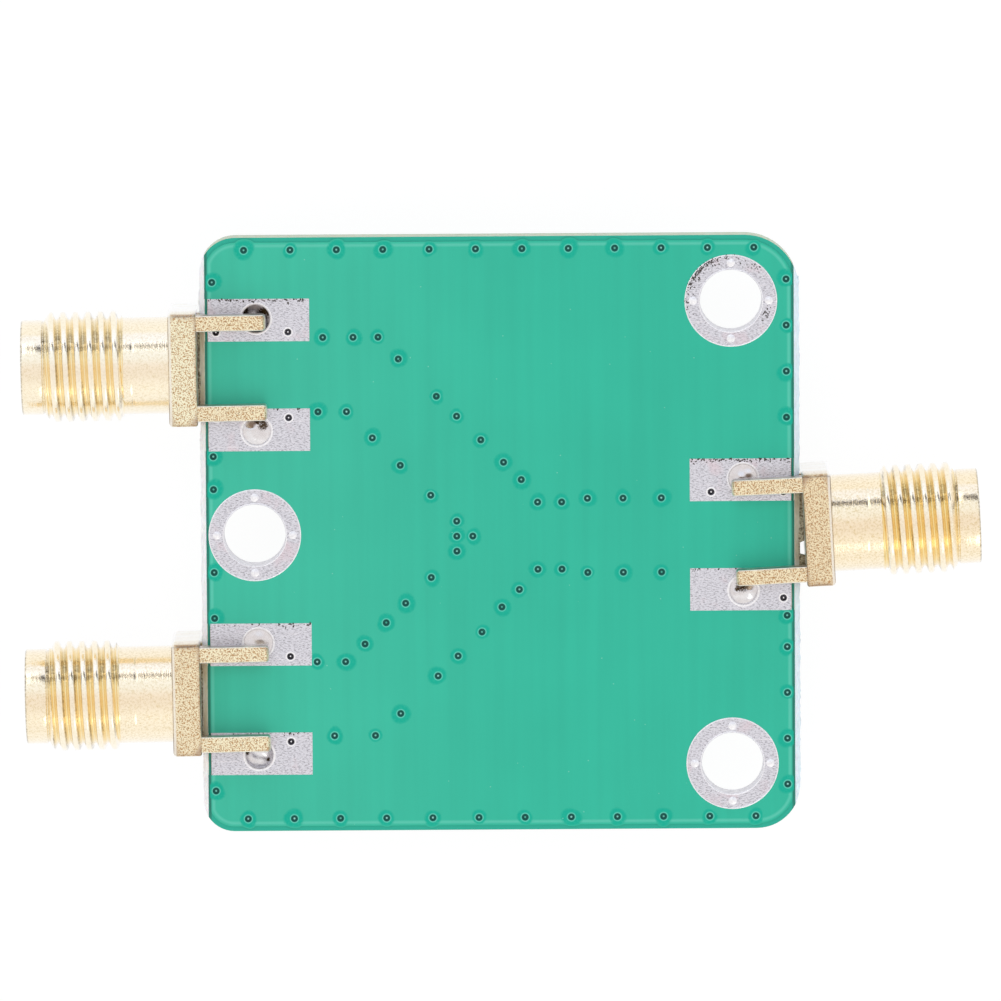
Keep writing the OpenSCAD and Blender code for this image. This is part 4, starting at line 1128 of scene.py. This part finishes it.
class DIVIDER_OT_fringe(bpy.types.Operator):
    """Leave the olive brown torn glass that fills most of the gap behind each flange"""

    bl_idname = "divider.fringe"
    bl_label = "Torn fringe"

    def execute(self, context):
        scene = context.scene
        sheets = []
        across = np.linspace(-2.55, 2.55, 150)
        for i, port in enumerate(PORTS):
            body = Jack(port, scene.divider_jack)
            # Level of the board's face in the jack's own stations, and how it runs across the jack
            edge = body.place(0.0, across, 0.0)
            face = (scene.divider_board.half_length - np.abs(edge[:, 0])) / abs(body.out[0])
            gape = smooth_noise(90 + i, across, scale=2.6)
            torn = np.clip((gape - 0.6) / 0.22, 0, 1)
            torn = torn * torn * (3 - 2 * torn)
            close = -0.012 - 0.01 * np.abs(smooth_noise(93 + i, across, scale=9))
            reach = close + torn * (face + 0.05 - close)
            rise = 0.12 * smooth_noise(96 + i, across, scale=3.0)
            half_way = 0.5 * (face + reach)
            station = np.stack([face - 0.06, half_way, reach, reach, half_way, face - 0.06], -1)
            top = board_middle() + 0.26 + rise - body.origin[2]
            drops = (0.03, 0.05 * gape, -0.06, -0.3, -0.5, -0.45)
            height = np.stack([top + drop for drop in drops], -1)
            sheets.append(beam(body.place(station, across[:, None], height)))
        add_piece("torn_fringe", sheets, "torn_glass")
        return {"FINISHED"}


class DIVIDER_OT_mask_edge(bpy.types.Operator):
    """Carry the mask's dark outer edge past the pads, along the scored faces"""

    bl_idname = "divider.mask_edge"
    bl_label = "Mask edge"

    def execute(self, context):
        y = np.linspace(-14.2, 14.2, 240)
        height = np.array([0.002, 0.035, 0.035, 0.002, -0.01, -0.01])
        sheets = []
        for level, turn in both_faces("laminate", "laminate"):
            for side in (-1, 1):
                edge = 16.5 + 0.008 * smooth_noise(70 + side, y, scale=6.0)
                inner = 16.37 + 0.02 * smooth_noise(75 + side, y, scale=4.0)
                x = np.stack([inner, inner + 0.02, edge - 0.02, edge, edge, inner], -1)
                sheets.append(beam(xyz(side * x, y[:, None], level + turn * height)))
        add_piece("mask_edge", sheets, "solder_mask")
        return {"FINISHED"}


class DIVIDER_OT_dross(bpy.types.Operator):
    """Scatter the specks of dross along the upper edges of the pads and one ring"""

    bl_idname = "divider.dross"
    bl_label = "Dross"

    # For each pad: its two ends in x and its upper edge in y, in mm, and the count of specks
    PADS = (
        (-16.3, -10.7, 13.36, 70), (-16.3, -10.7, 7.16, 12), (-16.3, -10.7, -5.0, 26),
        (-16.3, -10.7, -11.2, 22), (10.7, 16.3, 4.18, 84), (10.7, 16.3, -2.02, 30),
    )
    # The upper right ring has them along its upper left arc, in a swirl on its right side, and a few at
    # the top: middle and spread of the angle, nearest and farthest reach in mm, and the count
    ARCS = (
        (2.35, 0.42, 2.36, 2.58, 150), (2.4, 0.4, 2.1, 2.4, 22), (-0.38, 0.12, 1.95, 2.3, 22),
        (1.02, 0.14, 2.1, 2.5, 16),
    )

    def execute(self, context):
        rng = np.random.default_rng(12)
        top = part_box("back_tin")[1].z / MM
        spots = []
        for left, right, edge, count in self.PADS:
            x = rng.uniform(left, right, count)
            drop = np.abs(rng.normal(0, 0.09, count))
            spots.append(np.stack([x, edge - 0.02 - drop, rng.uniform(0.018, 0.05, count)], -1))
        ring_x, ring_y, _ = np.array(MOUNTS["mounting_hole_upper_right"]["pos_m"]) / MM
        for middle, wide, near, far, count in self.ARCS:
            angle = rng.normal(middle, wide, count)
            reach = rng.uniform(near, far, count)
            x, y = ring_x + reach * np.cos(angle), ring_y + reach * np.sin(angle)
            spots.append(np.stack([x, y, rng.uniform(0.018, 0.045, count)], -1))
        turn = around(8)
        share = np.array([0, 0.6, 1.0, 0.0])
        height = np.array([0.012, 0.009, -0.002, -0.004])
        sheets = []
        for x, y, r in np.concatenate(spots):
            lean, long = rng.uniform(0, math.pi), rng.uniform(1.0, 2.2)
            wobble = 1 + 0.3 * rng.uniform(-1, 1, (8, 1))
            a, b = r * long * share * wobble * np.cos(turn), r * share * wobble * np.sin(turn)
            px = x + a * math.cos(lean) - b * math.sin(lean)
            py = y + a * math.sin(lean) + b * math.cos(lean)
            sheets.append(sheet(xyz(px, py, top + height), True, True))
        add_piece("dross_specks", sheets, "dross")
        return {"FINISHED"}


class DIVIDER_OT_stage(bpy.types.Operator):
    """Lay the pale floor, set the soft light round it and place the camera"""

    bl_idname = "divider.stage"
    bl_label = "Stage"

    # The tent's colour at each angle in degrees from straight up, towards the back: its roof, the
    # narrow dark gap behind the roof, the back wall, and the floor
    TENT = (
        (-180, 1.0, 1.0, 1.0), (-95, 1.0, 1.0, 1.0), (-91, 0.97, 0.9, 0.8), (-86, 1.0, 1.0, 1.0),
        (-45, 1.02, 1.01, 1.0), (-14, 0.925, 0.88, 0.855), (4, 0.935, 0.89, 0.875), (24, 0.98, 1.02, 1.09),
        (46.5, 1.0, 1.06, 1.17), (47.5, 0.08, 0.065, 0.075), (58.5, 0.06, 0.05, 0.055),
        (60, 1.03, 1.1, 1.3), (85, 1.02, 1.08, 1.26), (110, 1.0, 1.02, 1.06), (180, 1.0, 1.0, 1.0),
    )
    BRIGHTEST = 1.5

    def lay_floor(self, stage):
        """A round floor that shows the camera an even white with a trace of the part's shadow."""
        bpy.ops.mesh.primitive_circle_add(
            vertices=96, radius=1.6, fill_type="NGON", location=(0, 0, -0.00002)
        )
        floor = bpy.context.active_object
        floor.name = "floor"
        material = bpy.data.materials.new("pale_floor")
        add = start_tree(material)
        ray = add("LightPath").outputs
        seen = add("Math", (ray["Is Camera Ray"], ray["Is Glossy Ray"]), "MAXIMUM")
        seen = add("Math", (seen, ray["Is Transmission Ray"]), "MAXIMUM")
        share = add("Math", (seen, 1.0 - stage.floor_shadow), "MULTIPLY")
        matte = add("BsdfDiffuse", {"Color": (0.93, 0.93, 0.94, 1), "Roughness": 0.0})
        glow = add("Emission", {"Color": (1, 1, 1, 1), "Strength": 1.03})
        mix = add("MixShader", (share, matte, glow))
        # Looked at from below, the floor lets the hidden side be seen
        under = add("NewGeometry").outputs["Backfacing"]
        mix = add("MixShader", (under, mix, add("BsdfTransparent")))
        add("OutputMaterial", {"Surface": mix})
        floor.data.materials.append(material)

    def pitch_tent(self, scene, stage):
        """A plain soft tent as the world: its colour depends on the angle round the x axis alone."""
        scene.world = bpy.data.worlds.new("tent")
        add = start_tree(scene.world)
        part = add("SeparateXYZ", [add("TexCoord").outputs["Generated"]]).outputs
        lean = add("Math", (part[1], part[2]), operation="ARCTAN2")
        turn = add("MapRange", (lean, -math.pi, math.pi))
        stops = [((a + 180) / 360, (*(c / self.BRIGHTEST for c in rgb), 1)) for a, *rgb in self.TENT]
        ramp = add("ValToRGB", [turn], stops=stops)
        tent = add("Background", {"Color": ramp, "Strength": self.BRIGHTEST * stage.level})
        plain = add("Background", {"Color": (1, 1, 1, 1), "Strength": 1.0})
        camera_ray = add("LightPath").outputs["Is Camera Ray"]
        mix = add("MixShader", (camera_ray, tent, plain))
        add("OutputWorld", {"Surface": mix})

    def execute(self, context):
        scene = context.scene
        self.lay_floor(scene.divider_stage)
        self.pitch_tent(scene, scene.divider_stage)
        for name, place, watts in (
            ("back_lamp", (-0.25, 0.75, 0.55), 0.5), ("front_lamp", (0.3, -0.7, 0.45), 0.35),
        ):
            lamp = bpy.data.lights.new(name, "AREA")
            lamp.size = 0.35
            lamp.energy = watts
            aim = Vector(place).to_track_quat("Z", "Y").to_matrix().to_4x4()
            link_object(name, lamp).matrix_world = Matrix.Translation(place) @ aim
        # The camera stands 0.75 m over the board and leans 7 degrees, as the photograph shows
        tilt, roll = math.radians(7), math.radians(0.35)
        right0, up0 = Vector((1, 0, 0)), Vector((0, math.cos(tilt), -math.sin(tilt)))
        right = math.cos(roll) * right0 - math.sin(roll) * up0
        up = math.sin(roll) * right0 + math.cos(roll) * up0
        camera = bpy.data.cameras.new("camera")
        camera.sensor_width = 36
        camera.lens = 480.1
        camera.clip_start, camera.clip_end = 0.02, 20
        scene.camera = link_object("camera", camera)
        rows = Matrix((right, up, right.cross(up))).transposed().to_4x4()
        scene.camera.matrix_world = Matrix.Translation((0.000017, 0.093279, 0.749635)) @ rows
        scene.view_settings.view_transform = "Standard"
        return {"FINISHED"}


STEPS = (
    DIVIDER_OT_finishes, DIVIDER_OT_barrels, DIVIDER_OT_flanges, DIVIDER_OT_vias, DIVIDER_OT_rims,
    DIVIDER_OT_pad_solder, DIVIDER_OT_edges, DIVIDER_OT_fringe, DIVIDER_OT_mask_edge, DIVIDER_OT_dross,
    DIVIDER_OT_stage,
)
GROUPS = {
    "divider_jack": DIVIDER_PG_jack, "divider_board": DIVIDER_PG_board,
    "divider_finish": DIVIDER_PG_finish, "divider_stage": DIVIDER_PG_stage,
}


class DIVIDER_PT_panel(bpy.types.Panel):
    """Lists the steps and their settings in the sidebar"""

    bl_idname = "DIVIDER_PT_panel"
    bl_label = "Power divider"
    bl_space_type = "VIEW_3D"
    bl_region_type = "UI"
    bl_category = "Divider"

    def draw(self, context):
        for step in STEPS:
            self.layout.operator(step.bl_idname)
        for group in GROUPS:
            box = self.layout.box()
            values = getattr(context.scene, group)
            for key in values.__annotations__:
                box.prop(values, key)


CLASSES = (*GROUPS.values(), *STEPS, DIVIDER_PT_panel)


def register():
    for item in CLASSES:
        bpy.utils.register_class(item)
    for key, group in GROUPS.items():
        setattr(bpy.types.Scene, key, bpy.props.PointerProperty(type=group))


def unregister():
    for key in GROUPS:
        delattr(bpy.types.Scene, key)
    for item in reversed(CLASSES):
        bpy.utils.unregister_class(item)


def main():
    register()
    for step in STEPS:
        group, name = step.bl_idname.split(".")
        getattr(getattr(bpy.ops, group), name)()


if __name__ == "__main__":
    main()
